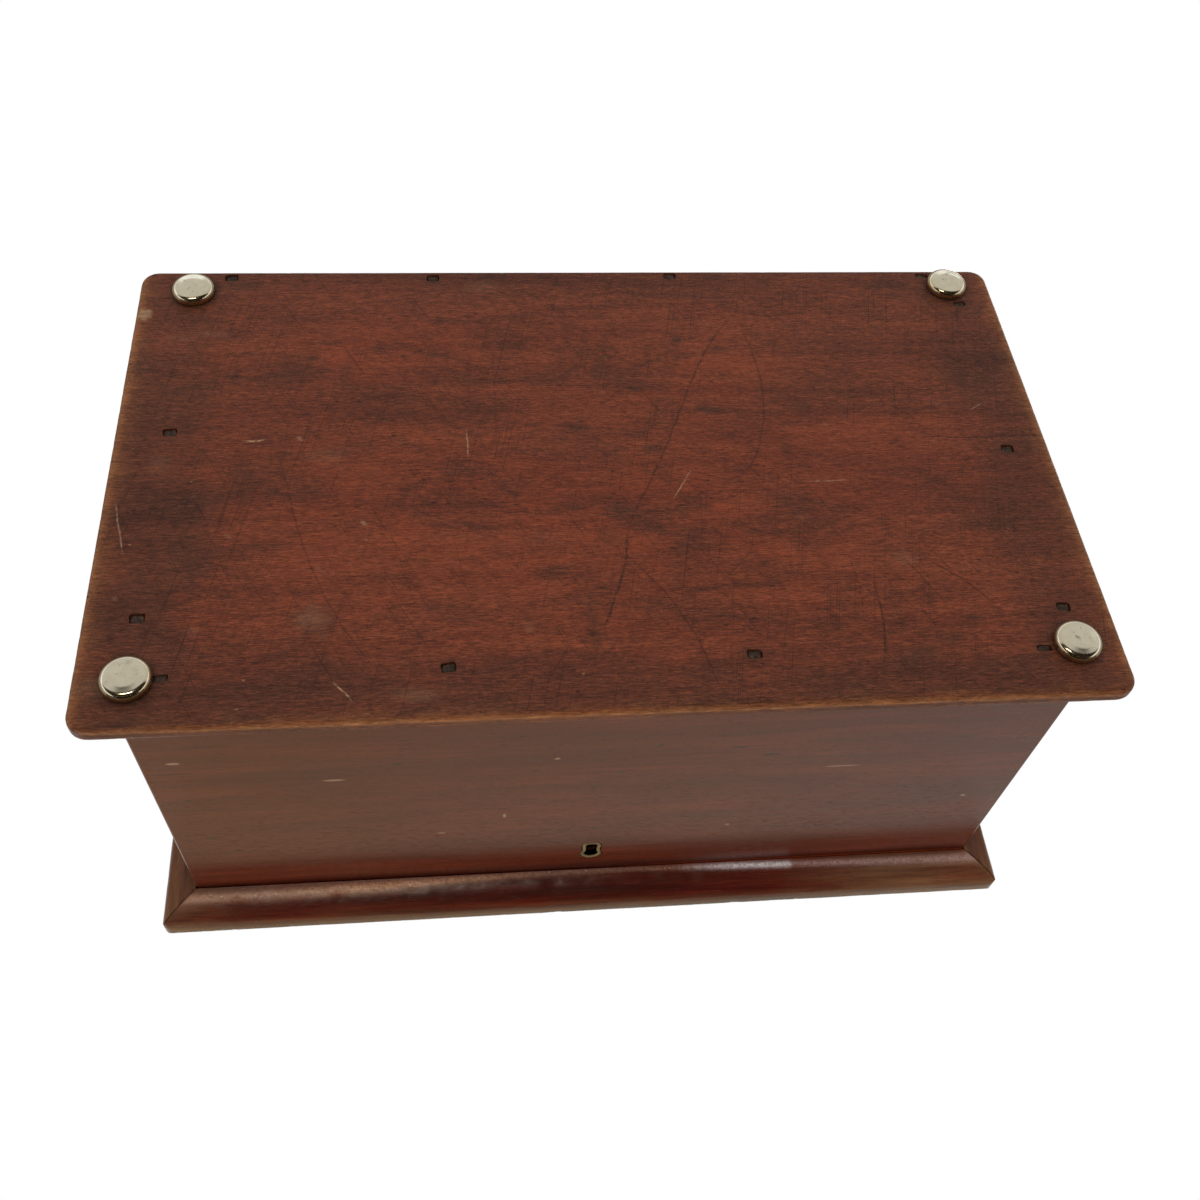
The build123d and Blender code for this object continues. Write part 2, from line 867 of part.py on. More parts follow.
def nodes():
    """Every named node with its shape."""
    made = {
        "base_board": base_board(),
        "front_board": front_board(),
        "back_board": back_board(),
        "base_nails": base_nails(),
        "keyhole_escutcheon": keyhole_escutcheon(),
        "lock_backplate": lock_backplate(),
        "lock_cap": lock_cap(),
        "lock_guide_studs": lock_guide_studs(),
        "lock_drill_pin": lock_drill_pin(),
        "lock_ward": lock_ward(),
        "lock_screws": lock_screws(),
        "lock_bolt": lock_bolt(),
        "bolt_spring": bolt_spring(),
        "lid_panel": lid_panel(),
        "moulding_front": moulding_front(),
        "moulding_pins": group(all_moulding_pins(0)),
        "link_plate": link_plate(),
        "link_staples": link_staples(),
        "link_plate_screws": group(
            [screw(place, (0, 0, 1), link_screw) for place in link_screw_places()]
        ),
        "hinge_case_screws": hinge_screws(joint_z, (0, 0, -1)),
        "hinge_lid_screws": hinge_screws(lid_z, (0, 0, 1)),
    }
    for corner in glide_insets:
        made["glide_" + corner] = glide(corner)
    for name, side in SIDES.items():
        made["side_board_" + name] = side_board(side)
        made["moulding_" + name] = moulding_side(side)
        made["hinge_" + name + "_case_leaf"] = hinge_leaf(side, True)
        made["hinge_" + name + "_lid_leaf"] = hinge_leaf(side, False)
        made["hinge_" + name + "_pin"] = hinge_pin(side)
    return made


os.makedirs("parts", exist_ok=True)
for name, shape in nodes().items():
    export_step(shape, f"parts/{name}.step")

print("joint plane", joint_z, "top", top_z)
print("hinge axis y, z", axis_y, axis_z)
print("case y", front_y, back_y, "x", side_x)
print("inside x", side_inner_x, "y", front_inner_y, back_inner_y, "z", wall_z)
print("keyhole x", key_x, "centre z", joint_z - pin_depth)
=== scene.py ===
import math
from functools import reduce

import bmesh
import bpy
import numpy as np
from mathutils import Matrix, Vector, noise


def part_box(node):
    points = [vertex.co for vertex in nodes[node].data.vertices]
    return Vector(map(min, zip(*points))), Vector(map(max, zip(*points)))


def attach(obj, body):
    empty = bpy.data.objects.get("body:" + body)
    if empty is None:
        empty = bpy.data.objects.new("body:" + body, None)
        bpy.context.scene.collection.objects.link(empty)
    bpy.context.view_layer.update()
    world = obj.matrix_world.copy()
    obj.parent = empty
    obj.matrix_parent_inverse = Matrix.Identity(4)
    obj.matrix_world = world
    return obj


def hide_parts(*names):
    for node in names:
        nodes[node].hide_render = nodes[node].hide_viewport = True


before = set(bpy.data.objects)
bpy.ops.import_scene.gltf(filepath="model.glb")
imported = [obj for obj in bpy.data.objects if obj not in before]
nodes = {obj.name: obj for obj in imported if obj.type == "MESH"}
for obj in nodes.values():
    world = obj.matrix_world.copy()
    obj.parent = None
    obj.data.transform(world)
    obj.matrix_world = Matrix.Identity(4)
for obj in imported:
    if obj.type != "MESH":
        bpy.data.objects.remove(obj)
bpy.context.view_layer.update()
scene = bpy.context.scene
scene.view_settings.view_transform = "Standard"

# Sizes, in millimetres, read from the CAD nodes


def span_mm(node):
    low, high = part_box(node)
    return np.array(low) * 1000, np.array(high) * 1000


base_low, base_high = span_mm("base_board")
case_low, case_high = span_mm("front_board")
panel_low, panel_high = span_mm("lid_panel")
rim_low, rim_high = span_mm("moulding_front")
half_base = base_high[0]
front_y = case_low[1]
back_y = base_high[1]
lid_x = panel_high[0]
lid_front_y = panel_low[1]
lip_z = rim_low[2]
top_z = rim_high[2]
reach = lid_front_y - rim_low[1]


# Shader helpers


def srgb(red, green, blue):
    """A colour as it is seen, 0 to 255, as the linear colour that a socket takes."""
    linear = []
    for value in (red, green, blue):
        v = value / 255
        linear.append(v / 12.92 if v <= 0.04045 else ((v + 0.055) / 1.055) ** 2.4)
    return (*linear, 1.0)


def is_socket(value):
    return isinstance(value, bpy.types.NodeSocket)


class Nodes:
    """Builds the node tree of a material or of the world."""

    def __init__(self, owner, output="ShaderNodeOutputMaterial"):
        owner.use_nodes = True
        self.owner = owner
        self.tree = owner.node_tree
        self.tree.nodes.clear()
        self.output = self.tree.nodes.new(output)

    def add(self, kind, inputs=(), out=0, **settings):
        """A new node's output. Its inputs are plain values or other nodes' outputs."""
        node = self.tree.nodes.new(kind)
        for key, value in settings.items():
            setattr(node, key, value)
        for key, value in dict(inputs).items():
            if is_socket(value):
                self.tree.links.new(value, node.inputs[key])
            elif value is not None:
                node.inputs[key].default_value = value
        return node.outputs[out]

    def close(self, shader):
        """Sends a shader to the output."""
        self.tree.links.new(shader, self.output.inputs["Surface"])
        return self.owner

    def math(self, operation, *values, clamp=False):
        return self.add("ShaderNodeMath", enumerate(values), operation=operation, use_clamp=clamp)

    def fold(self, operation, values):
        return reduce(lambda a, b: self.math(operation, a, b), values)

    def times(self, *values):
        return self.fold("MULTIPLY", values)

    def plus(self, *values):
        return self.fold("ADD", values)

    def total(self, *weighted):
        """The sum of values, each with its weight."""
        return self.plus(*(self.times(value, weight) for value, weight in weighted))

    def span(self, value, start, end, low=0.0, high=1.0):
        """Value from start to end, mapped to low to high and held there."""
        inputs = {"Value": value, "From Min": start, "From Max": end, "To Min": low, "To Max": high}
        return self.add("ShaderNodeMapRange", inputs)

    def split(self, vector):
        return tuple(self.add("ShaderNodeSeparateXYZ", {0: vector}).node.outputs)


class Finish(Nodes):
    """A material whose textures run in the part's own millimetres. Plain colours are given as
    they are seen, 0 to 255."""

    def __init__(self, name, specular=0.5, metallic=0.0):
        super().__init__(bpy.data.materials.new(name))
        self.shine = {"Specular IOR Level": specular, "Metallic": metallic}
        place = self.add("ShaderNodeTexCoord", out="Object")
        self.normal = place.node.outputs["Normal"]
        self.mm = self.vector("SCALE", place, scale=1000.0)
        self.axes = dict(zip("XYZ", self.split(self.mm)))
        self.x, self.y, self.z = self.axes.values()

    def vector(self, operation, a, b=None, scale=None, out=0):
        inputs = {0: a, 1: b, "Scale": scale}
        return self.add("ShaderNodeVectorMath", inputs, out, operation=operation)

    def grain(self, axis, along, across, seed, turn=0.0):
        """Coordinates stretched along one axis: along and across are feature sizes."""
        source = self.mm
        if turn:
            inputs = {"Vector": source, "Axis": (0, 0, 1), "Angle": math.radians(turn)}
            source = self.add("ShaderNodeVectorRotate", inputs, rotation_type="AXIS_ANGLE")
        sizes = [1.0 / (along if letter == axis else across) for letter in "XYZ"]
        scaled = self.vector("MULTIPLY", source, sizes)
        return self.vector("ADD", scaled, (seed * 7.31, seed * 3.77, seed * 5.13))

    def even(self, size, seed):
        scaled = self.vector("SCALE", self.mm, scale=1.0 / size)
        return self.vector("ADD", scaled, (seed * 4.19, seed * 8.23, seed * 2.71))

    def noise(self, place, detail, rough, bend=0.0):
        inputs = {"Vector": place, "Scale": 1.0, "Detail": detail, "Roughness": rough}
        return self.add("ShaderNodeTexNoise", {**inputs, "Distortion": bend})

    def streaks(self, axis, along, across, seed, detail, rough, bend=0.0, turn=0.0):
        return self.noise(self.grain(axis, along, across, seed, turn), detail, rough, bend)

    def clouds(self, size, seed, detail, rough):
        return self.noise(self.even(size, seed), detail, rough)

    def specks(self, spacing, size, share, axis=None, stretch=1.0, seed=0.0):
        """Scattered small marks, of about a share of the cells."""
        if axis:
            place = self.grain(axis, spacing * stretch, spacing, seed)
        else:
            place = self.even(spacing, seed)
        distance = self.add("ShaderNodeTexVoronoi", {"Vector": place, "Scale": 1.0}, "Distance")
        pick = self.split(distance.node.outputs["Color"])[0]
        near = self.span(distance, size / spacing, size / spacing * 0.4)
        return self.times(near, self.math("GREATER_THAN", pick, 1.0 - share))

    def layer(self, name):
        """The four numbers that a piece's own points carry under a name."""
        fourth = self.add("ShaderNodeAttribute", out="Alpha", attribute_name=name)
        return (*self.split(fourth.node.outputs["Vector"]), fourth)

    def mix(self, amount, a, b):
        a, b = (value if is_socket(value) else srgb(*value) for value in (a, b))
        return self.add("ShaderNodeMix", {0: amount, 6: a, 7: b}, 2, data_type="RGBA")

    def stain(self, colour, *marks):
        """Lays marks over a colour, each a mask with its strength and its own colour."""
        for mask, strength, ink in marks:
            colour = self.mix(self.times(mask, strength), colour, ink)
        return colour

    def ramp(self, value, *stops):
        """The colours of the stops, each a place and a colour, blended along a value."""
        colour = self.add("ShaderNodeValToRGB", {0: value})
        marks = colour.node.color_ramp.elements
        while len(marks) < len(stops):
            marks.new(0.5)
        for mark, (place, tone) in zip(marks, stops):
            mark.position, mark.color = place, srgb(*tone)
        return colour

    def finish(self, colour, rough, height, depth):
        """Closes the material; depth is how high its bumps stand, in millimetres."""
        inputs = {"Height": height, "Distance": depth / 1000, "Strength": 1.0}
        bump = self.add("ShaderNodeBump", inputs)
        inputs = {"Base Color": colour, "Roughness": rough, "Normal": bump, **self.shine}
        return self.close(self.add("ShaderNodeBsdfPrincipled", inputs))


# Wood

TONE_STOPS = (0.36, 0.5, 0.64)


def wood_figure(m, axis, seed):
    """The wood's long figure, its streaks, its fine fibre and its pores."""
    figure = m.streaks(axis, 150, 15, seed, 4, 0.55, 0.5)
    streak = m.streaks(axis, 52, 2.4, seed + 1, 3, 0.6, 0.2)
    fibre = m.streaks(axis, 11, 0.5, seed + 2, 2, 0.6)
    pore = m.streaks(axis, 4.5, 0.3, seed + 3, 1, 0.5)
    return figure, streak, fibre, m.span(pore, 0.6, 0.72)


def end_grain(m, axis, size, seed, dark, light):
    """The mask of the faces that cut across the grain, and their dotted colour."""
    facing = m.split(m.normal)["XYZ".index(axis)]
    mask = m.span(m.math("ABSOLUTE", facing), 0.65, 0.8)
    return mask, m.ramp(m.clouds(size, seed, 3, 0.6), (0.35, dark), (0.7, light))


def wood(name, axis, tones, seed, polish, specular, raw, edges=(), spots=(), pale=(), seam=None):
    """Old polished mahogany. raw holds two corners of the space where inner wood is bare, edges
    the worn lines, spots and pale the small marks and seam the height of the lid's lip, under
    which a band of painted shade and a thin painted highlight run, all in millimetres."""
    m = Finish(name, specular)
    _, middle, _, old = tones
    figure, streak, fibre, pore = wood_figure(m, axis, seed)
    blend = m.total((figure, 0.5), (streak, 0.32), (fibre, 0.18))
    colour = m.ramp(blend, *zip(TONE_STOPS, tones))
    blotch = m.streaks(axis, 70, 34, seed + 4, 5, 0.62, 0.4)
    colour = m.mix(m.span(blotch, 0.46, 0.72, 0.0, 0.65), colour, old)
    ends, dots = end_grain(m, axis, 0.55, seed, (34, 18, 13), middle)
    bare = m.ramp(blend, (0.38, (86, 50, 34)), (0.62, (124, 78, 54)))
    inside = m.times(*(
        m.math(test, value, limit)
        for value, low, high in zip(m.axes.values(), *raw)
        for test, limit in (("GREATER_THAN", low), ("LESS_THAN", high))
    ))
    colour = m.stain(colour, (pore, 0.5, (38, 20, 15)), (ends, 0.75, dots), (inside, 0.8, bare))
    rough = m.total((figure, 0.1), (fibre, 0.12), (blotch, 0.14))
    rough = m.plus(rough, polish - 0.16, m.times(inside, 0.25))
    # painted shade: a dark red band below the lid's lip, where the moulding overhangs the board; glow is a
    # painted highlight, a thin orange line just under the lip on the -X half
    if seam:
        shade_height = m.plus(m.z, m.times(m.math("SUBTRACT", blotch, 0.5), 9.0))
        colour = m.mix(m.span(shade_height, seam - 9, seam - 2, 0.0, 0.9), colour, (50, 10, 4))
        glow = m.times(m.span(m.z, seam - 1.6, seam - 0.5), m.span(m.x, 0, -60))
        colour = m.stain(colour, (glow, 0.6, (138, 54, 22)))
    chips = m.clouds(3.2, seed + 5, 4, 0.7)
    for side, at, width, strength in edges:
        away = m.math("ABSOLUTE", m.math("SUBTRACT", m.axes[side], at))
        worn = m.times(m.span(away, width, 0.0), m.span(chips, 0.38, 0.62), strength)
        colour = m.mix(worn, colour, (140, 96, 62))
    for marks, ink in ((spots, (36, 22, 16)), (pale, (150, 122, 96))):
        rings = []
        for x, z, wide, tall in marks:
            away = m.vector("SUBTRACT", m.mm, (x, front_y, z))
            away = m.vector("MULTIPLY", away, (1 / wide, 0.2, 1 / tall))
            size = m.vector("LENGTH", away, out=1)
            rings.append(m.span(m.plus(size, m.times(chips, 0.6)), 1.35, 0.95))
        if rings:
            colour = m.stain(colour, (m.fold("MAXIMUM", rings), 0.75, ink))
    tick = m.streaks(axis, 5, 0.55, seed + 8, 2, 0.6, 0.6)
    tick = m.times(m.span(tick, 0.63, 0.71), m.span(blotch, 0.4, 0.6, 0.4, 1.0))
    dents = m.specks(17, 0.8, 0.3, axis, 2.2, seed)
    dust = m.specks(21, 0.4, 0.25, axis, 1.4, seed + 6)
    colour = m.stain(
        colour, (tick, 0.6, (36, 17, 11)), (dents, 0.6, (42, 24, 18)), (dust, 0.55, (150, 118, 92)),
    )
    waves = m.streaks(axis, 60, 16, seed + 7, 2, 0.5)
    height = m.total((waves, 0.9), (fibre, 0.1), (pore, -0.2), (dents, -0.8), (tick, -0.2))
    return m.finish(colour, rough, height, 0.1)


# Tones of the wood: dark, middle, light and faded
RED = ((60, 22, 13), (86, 33, 19), (112, 47, 26), (62, 33, 22))
FRONT = ((72, 27, 13), (86, 33, 17), (101, 41, 21), (78, 37, 22))
SIDE = ((62, 23, 12), (88, 34, 18), (114, 48, 26), (72, 36, 21))
RIM = ((50, 8, 1), (76, 15, 3), (104, 36, 10), (66, 32, 13))


# Marks of the base board


def unit(values):
    return np.clip(values, 0, 1)


def highest(layers):
    return np.maximum.reduce(layers)


def lengths(line):
    """The lengths of a line's steps, and how far along it each point is."""
    steps = np.hypot(*np.diff(line, axis=0).T)
    return steps, np.concatenate([[0], np.cumsum(steps)])


def smooth_line(points):
    """A line through points with its corners cut three times."""
    line = np.array(points, float)
    for _ in range(3 if len(line) > 2 else 0):
        a, b = line[:-1], line[1:]
        cut = np.stack([a * 0.75 + b * 0.25, a * 0.25 + b * 0.75], 1).reshape(-1, 2)
        line = np.vstack([line[:1], cut, line[-1:]])
    return line


def nearest_on_lines(points, lines):
    """For each point, the nearest line's signed and unsigned distance, strength and width."""
    signed, away = np.full((2, len(points)), 1e6)
    strength, width = np.zeros((2, len(points)))
    for power, wide, *flat in lines:
        line = smooth_line(np.reshape(flat, (-1, 2)))
        steps, run = lengths(line)
        for k, step in enumerate(steps):
            d = (line[k + 1] - line[k]) / step
            rel = points - line[k]
            side = rel[:, 0] * d[1] - rel[:, 1] * d[0]
            held = np.clip(rel @ d, 0, step)
            gap = np.hypot(*(rel - held[:, None] * d).T)
            better = gap < away
            along = (run[k] + held) / run[-1]
            fade = unit(np.minimum(along, 1 - along) * 7 + 0.35)
            away[better] = gap[better]
            signed[better] = side[better]
            strength[better] = (power * fade)[better]
            width[better] = wide
    return signed, away, strength, width


# Scratches of the base board: strength, width, then x and y of each of its points
BASE_LINES = [
    (0.75, 0.5, -73, 91, -56, 69, -43, 39, -32, 12, -20, -15, -12, -29, -8.7, -40),
    (0.95, 0.6, -8.7, -40, -5.8, -58, -0.2, -72, 4.5, -85), (0.35, 0.6, 19, -93, 26, -105),
    (0.6, 0.5, -73, 79, -76, 65, -77.4, 45, -76, 27, -72, 11, -67, -2, -58, -13),
    (0.5, 0.45, -29, -5, -46, -9, -55, -13, -61, -8), (0.4, 0.4, -39, -15, -48, -26, -58, -17),
    (0.4, 0.35, 135, 10, 130, -2, 127, -14),
    (0.6, 0.4, 127, -14, 123, -33, 116, -54, 109, -71, 100, -87, 92, -99),
    (0.65, 0.4, -8.6, -52, -17, -63, -24, -75, -31, -91, -34, -102, -37, -115),
    (0.4, 0.3, -30, -80, -37, -97), (0.4, 0.3, 12.6, -33, -1.7, -45), (0.45, 0.3, -55, -53, -47, -62),
    (0.5, 0.35, -35, -66, -46, -71, -57, -93), (0.35, 0.35, -42, -16, -37, -58),
    (0.35, 0.35, -70, -72, -64, -96), (0.45, 0.35, -98, -55, -99.6, -68, -98, -84),
    (0.8, 0.6, -105.6, -68, -105.7, -85, -103, -102), (0.85, 0.45, -132, -58, -142, -66, -152, -78),
    (0.6, 0.5, -122, -80, -125, -87), (0.3, 0.35, -170, -32, -173, -61, -169, -87),
    (1, 0.45, -199.6, 9.2, -192, 10.6, -186, 10.2, -176, 9.7, -165, 9.2, -153, 10),
    (0.6, 0.35, -153, 10, -141, 10.1), (0.35, 0.4, 42.4, 65, 42, 35, 42.2, 14),
    (0.3, 0.3, 88, -30, 79, -62, 77, -70), (0.3, 0.3, 62, -36, 55, -72), (0.3, 0.3, 20, -50, 26, -66),
    (0.35, 0.3, 30, 62, 18, 34), (0.3, 0.3, -90, 60, -116, 36), (0.35, 0.3, -60, 84, -96, 96),
]
# Pale ticks and scrapes in the same form
BASE_PALE = [
    (0.9, 0.4, 145.6, 13.8, 142, 13.4, 139.5, 14.2), (0.5, 0.35, 193.8, -20, 189, -42),
    (0.8, 0.35, 105, -106.4, 100.4, -112), (0.6, 0.3, 54.6, 17, 54.4, 5),
    (0.5, 0.3, -38, -8, -30, -21), (0.45, 0.3, -90, -14, -104, -13.5), (0.4, 0.3, -176, 30, -170, 26),
]
# Dark spots: x, y, half width, half depth, strength
BASE_DARK = [
    (194.3, 72.6, 7, 4, 0.7), (119.5, 61.7, 4, 2.2, 0.7), (130.1, 56.1, 11, 8, 0.4),
    (65.5, 85, 3, 2.5, 0.4), (67.5, 63.5, 9, 5, 0.4), (81.1, 62.9, 1.8, 1.6, 0.6),
    (153.8, 51.6, 3, 1.6, 0.8), (105.9, 52.6, 4, 9, 0.4), (-42.3, 71.8, 3.2, 2.8, 0.95),
    (-20.1, 41.1, 3, 2.2, 0.8), (-50.8, 28.1, 8, 2.2, 0.9), (-60.2, 65.5, 6, 1.8, 0.8),
    (9.8, 109, 2.6, 2, 0.9), (7.6, 19, 5, 3, 0.6), (-24.7, 6.1, 5, 3, 0.6), (-81.6, 4.8, 3, 4, 0.5),
    (11.5, -25.3, 4, 2, 0.6), (-6.6, -27, 6, 5, 0.55), (-2, -41.5, 6, 5, 0.45),
    (8.9, -82.2, 2.6, 12, 0.55), (6.5, -107.5, 9, 3, 0.35), (-14.8, -102.5, 4, 2.5, 0.4),
    (-95.8, -69.3, 2, 1.6, 0.7), (-142.3, -85.5, 4, 1.3, 0.9), (-130.8, -95.1, 5, 3, 0.45),
    (-126.2, -74.2, 3, 6, 0.35), (-112.1, -78.5, 5, 8, 0.3), (-60, 102, 26, 7, 0.3),
    (-110, 66, 30, 9, 0.3), (-100, 40, 26, 14, 0.25), (60, -103, 60, 9, 0.3), (55, 104, 40, 8, 0.25),
    (115, -77, 7.5, 7.5, 0.35),
]
# Pale stains and flecks: x, y, half width, half depth, strength
BASE_LIGHT = [
    (115.1, -77, 6.2, 6.2, 0.36), (113.3, 5.3, 9, 4, 0.2), (165, 77.3, 7, 2.4, 0.25),
    (178, 74.9, 5, 2.4, 0.2), (-121, -55, 5, 4, 0.22), (33.2, -83.7, 1.4, 3, 0.4),
    (158.1, -80.9, 2.4, 1.2, 0.35), (190, -104, 9, 4, 0.3), (76, -112, 8, 3, 0.3),
    (45, 108, 7, 4, 0.2), (-8, 60.9, 1.2, 1, 0.6), (180, 2, 4, 5, 0.2),
]
# Pale dots: x, y, radius
BASE_DOTS = [
    (124, 15, 0.9), (-2.4, -1.8, 0.5), (-80.8, -33.3, 0.7), (114.2, -52.4, 0.6), (96.7, -31.1, 0.5),
    (-102.3, 17.6, 0.6), (-155.4, 30.2, 0.6), (36, -69.2, 0.5), (-60, -118, 0.5), (188, -65, 0.5),
    (-176, -60, 0.5), (149, -36, 0.5),
]


def blob(points, x, y, wide, deep):
    """1 in the middle of a soft spot, falling to 0 at its uneven rim."""
    size = np.hypot((points[:, 0] - x) / wide, (points[:, 1] - y) / deep)
    near = size < 2.2
    wobble = np.array([noise.noise(Vector((px * 0.22, py * 0.3, x))) for px, py in points[near]])
    value = np.zeros(len(points))
    value[near] = unit(1.35 - size[near] * (1 + 0.45 * wobble))
    return value


def set_layer(mesh, name, columns):
    """Stores four numbers for each point of a mesh."""
    layer = mesh.color_attributes.new(name, "FLOAT_COLOR", "POINT")
    data = np.stack(columns, 1).astype(np.float32)
    layer.data.foreach_set("color", data.ravel())


def base_material():
    m = Finish("aged_base_mahogany", 0.2)
    figure, streak, fibre, pore = wood_figure(m, "X", 2)
    ripple = m.streaks("X", 3.0, 0.5, 15, 3, 0.65, 0.8)
    blend = m.total((figure, 0.18), (streak, 0.1), (fibre, 0.22), (ripple, 0.5))
    colour = m.ramp(blend, (0.39, (76, 34, 21)), (0.5, (104, 48, 28)), (0.61, (140, 70, 41)))
    grime_and_shade, wear, red, pale = m.layer("tone")
    cloud = m.streaks("X", 44, 20, 9, 6, 0.72, 0.8)
    brown = m.ramp(blend, (0.42, (58, 28, 19)), (0.58, (94, 48, 31)))
    colour = m.mix(m.span(cloud, 0.48, 0.7, 0.0, 0.7), colour, brown)
    bright = m.ramp(blend, (0.4, (99, 38, 20)), (0.6, (142, 66, 35)))
    colour = m.mix(m.times(red, m.span(cloud, 0.62, 0.42)), colour, bright)
    rub = m.streaks("X", 9, 1.6, 12, 4, 0.7)
    # grime with painted shade round the nails and glides, darkened towards murk
    dirt_and_shade = m.times(grime_and_shade, m.span(rub, 0.25, 0.6, 0.55, 1.0))
    murk = m.ramp(blend, (0.42, (40, 25, 18)), (0.58, (66, 44, 31)))
    rubbed = m.times(wear, m.span(rub, 0.26, 0.56, 0.25, 1.0))
    tan = m.ramp(blend, (0.42, (116, 70, 38)), (0.58, (162, 106, 60)))
    # bare: worn bare wood at the very arris, made paler than it is as a painted highlight of the glints
    # along that edge
    bare = m.times(m.span(wear, 0.9, 1.0), m.span(rub, 0.54, 0.64))
    colour = m.stain(
        colour, (pore, 0.7, (40, 18, 12)), (dirt_and_shade, 0.9, murk), (rubbed, 0.85, tan),
        (bare, 0.7, (190, 142, 96)),
    )
    colour = m.mix(m.times(pale, m.span(rub, 0.3, 0.6, 0.4, 1.0)), colour, (150, 118, 88))
    breaks = m.clouds(1.7, 5, 2, 0.6)
    sway = m.times(m.math("SUBTRACT", m.clouds(5.5, 8, 2, 0.6), 0.5), 1.3)

    def lines(name):
        """A layer's lines, a little bent and broken."""
        side, gap, force, wide = m.layer(name)
        off = m.math("ABSOLUTE", m.plus(side, sway))
        core = m.math("SUBTRACT", 1.1, m.math("DIVIDE", off, m.times(wide, 1.3)), clamp=True)
        return m.times(core, m.span(gap, 2.3, 1.3), force, m.span(breaks, 0.36, 0.54, 0.22, 1.0))

    scratch = lines("scratch")
    hair = m.streaks("X", 58, 0.42, 21, 1, 0.5, turn=78)
    hair = m.math("MAXIMUM", hair, m.streaks("X", 44, 0.36, 25, 1, 0.5, turn=118))
    hair = m.times(m.span(hair, 0.66, 0.74), m.span(cloud, 0.35, 0.5, 0.3, 1.0))
    stroke = m.streaks("X", 3.4, 0.6, 27, 3, 0.7, 1.2, 6)
    stroke = m.times(m.span(stroke, 0.61, 0.7), m.span(cloud, 0.4, 0.62, 0.35, 1.0))
    colour = m.stain(
        colour, (hair, 0.6, (46, 22, 16)), (stroke, 0.6, (48, 24, 17)), (scratch, 0.85, (40, 21, 16)),
    )
    colour = m.mix(lines("scrape"), colour, (176, 146, 116))
    tick = m.streaks("X", 2.6, 0.4, 33, 1, 0.5)
    tick = m.times(m.span(tick, 0.69, 0.76), m.span(rub, 0.45, 0.65))
    pits = m.specks(7, 0.6, 0.45, "X", 2.6, 3)
    nicks = m.specks(12, 0.45, 0.35, "X", 1.8, 4)
    ends, dots = end_grain(m, "X", 0.5, 3, (36, 20, 15), (96, 56, 36))
    colour = m.stain(
        colour, (tick, 0.6, (158, 104, 74)), (pits, 0.75, (36, 20, 17)),
        (nicks, 0.6, (164, 116, 82)), (ends, 0.6, dots),
    )
    rough = m.total((cloud, 0.25), (rub, 0.12), (fibre, 0.12), (wear, -0.12), (dirt_and_shade, 0.1))
    waves = m.streaks("X", 48, 14, 14, 2, 0.5)
    height = m.total(
        (waves, 1.6), (fibre, 0.2), (ripple, 0.3), (pore, -0.3), (scratch, -0.8),
        (pits, -0.9), (rub, 0.2), (hair, -0.3), (stroke, -0.4),
    )
    return m.finish(colour, m.plus(rough, 0.2), height, 0.16)


# Meshes


def put(name, data):
    """A new object in the scene."""
    obj = bpy.data.objects.new(name, data)
    scene.collection.objects.link(obj)
    return obj


def add_piece(name, mesh, material, body, replaced):
    """Puts a new piece on its body, in place of CAD nodes."""
    obj = put(name, mesh)
    mesh.materials.clear()
    mesh.materials.append(material)
    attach(obj, body)
    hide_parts(*replaced)
    return obj


def new_mesh(name, points_mm, faces, sharp=35):
    mesh = bpy.data.meshes.new(name)
    mesh.from_pydata([tuple(p) for p in np.array(points_mm) / 1000], [], faces)
    mesh.validate()
    tool = bmesh.new()
    tool.from_mesh(mesh)
    bmesh.ops.recalc_face_normals(tool, faces=tool.faces)
    tool.to_mesh(mesh)
    tool.free()
    shade(mesh, sharp)
    return mesh


def shade(mesh, sharp):
    mesh.polygons.foreach_set("use_smooth", [True] * len(mesh.polygons))
    mesh.set_sharp_from_angle(angle=math.radians(sharp))


def vectors(items, field):
    flat = np.zeros(len(items) * 3)
    items.foreach_get(field, flat)
    return flat.reshape(-1, 3)


def points_of(mesh):
    return vectors(mesh.vertices, "co") * 1000


def press_in(mesh, amount_mm):
    """Moves each point of a mesh inwards."""
    moved = points_of(mesh) - vectors(mesh.vertex_normals, "vector") * amount_mm[:, None]
    mesh.vertices.foreach_set("co", (moved / 1000).astype(np.float32).ravel())
    mesh.update()


def fractal(points, size, octaves=3, seed=0.0):
    """Smooth noise from about -1 to 1 at each point."""
    shift = Vector((seed, seed * 1.7, seed * 0.6))
    return np.array([
        noise.fractal(Vector(p) / size + shift, 1.0, 2.0, octaves) for p in points
    ])


def stations(length, near_start, near_end, step):
    """Distances along a length: given ones near both ends and even steps between them."""
    first, last = near_start[-1], length - near_end[-1]
    count = max(2, round((last - first) / step))
    middle = [first + (last - first) * k / count for k in range(1, count)]
    return list(near_start) + middle + [length - d for d in reversed(near_end)]


def quads(rows, closed=True):
    """Faces between neighbouring rows of points; closed rows run round to their start."""
    if closed:
        rows = [[*row, row[0]] for row in rows]
    return [
        (low[k], low[k + 1], high[k + 1], high[k])
        for low, high in zip(rows, rows[1:]) for k in range(len(low) - 1)
    ]


def numbered(count, width):
    """The numbers of points that lie in rows."""
    return np.arange(count * width).reshape(count, width).tolist()


def clusters(points, reach):
    """Points in groups, each within a reach, in plan, of its group's first point."""
    groups = []
    for point in points:
        near = [group for group in groups if math.hypot(*(point - group[0])[:2]) < reach]
        if near:
            near[0].append(point)
        else:
            groups.append([point])
    return [np.array(group) for group in groups]


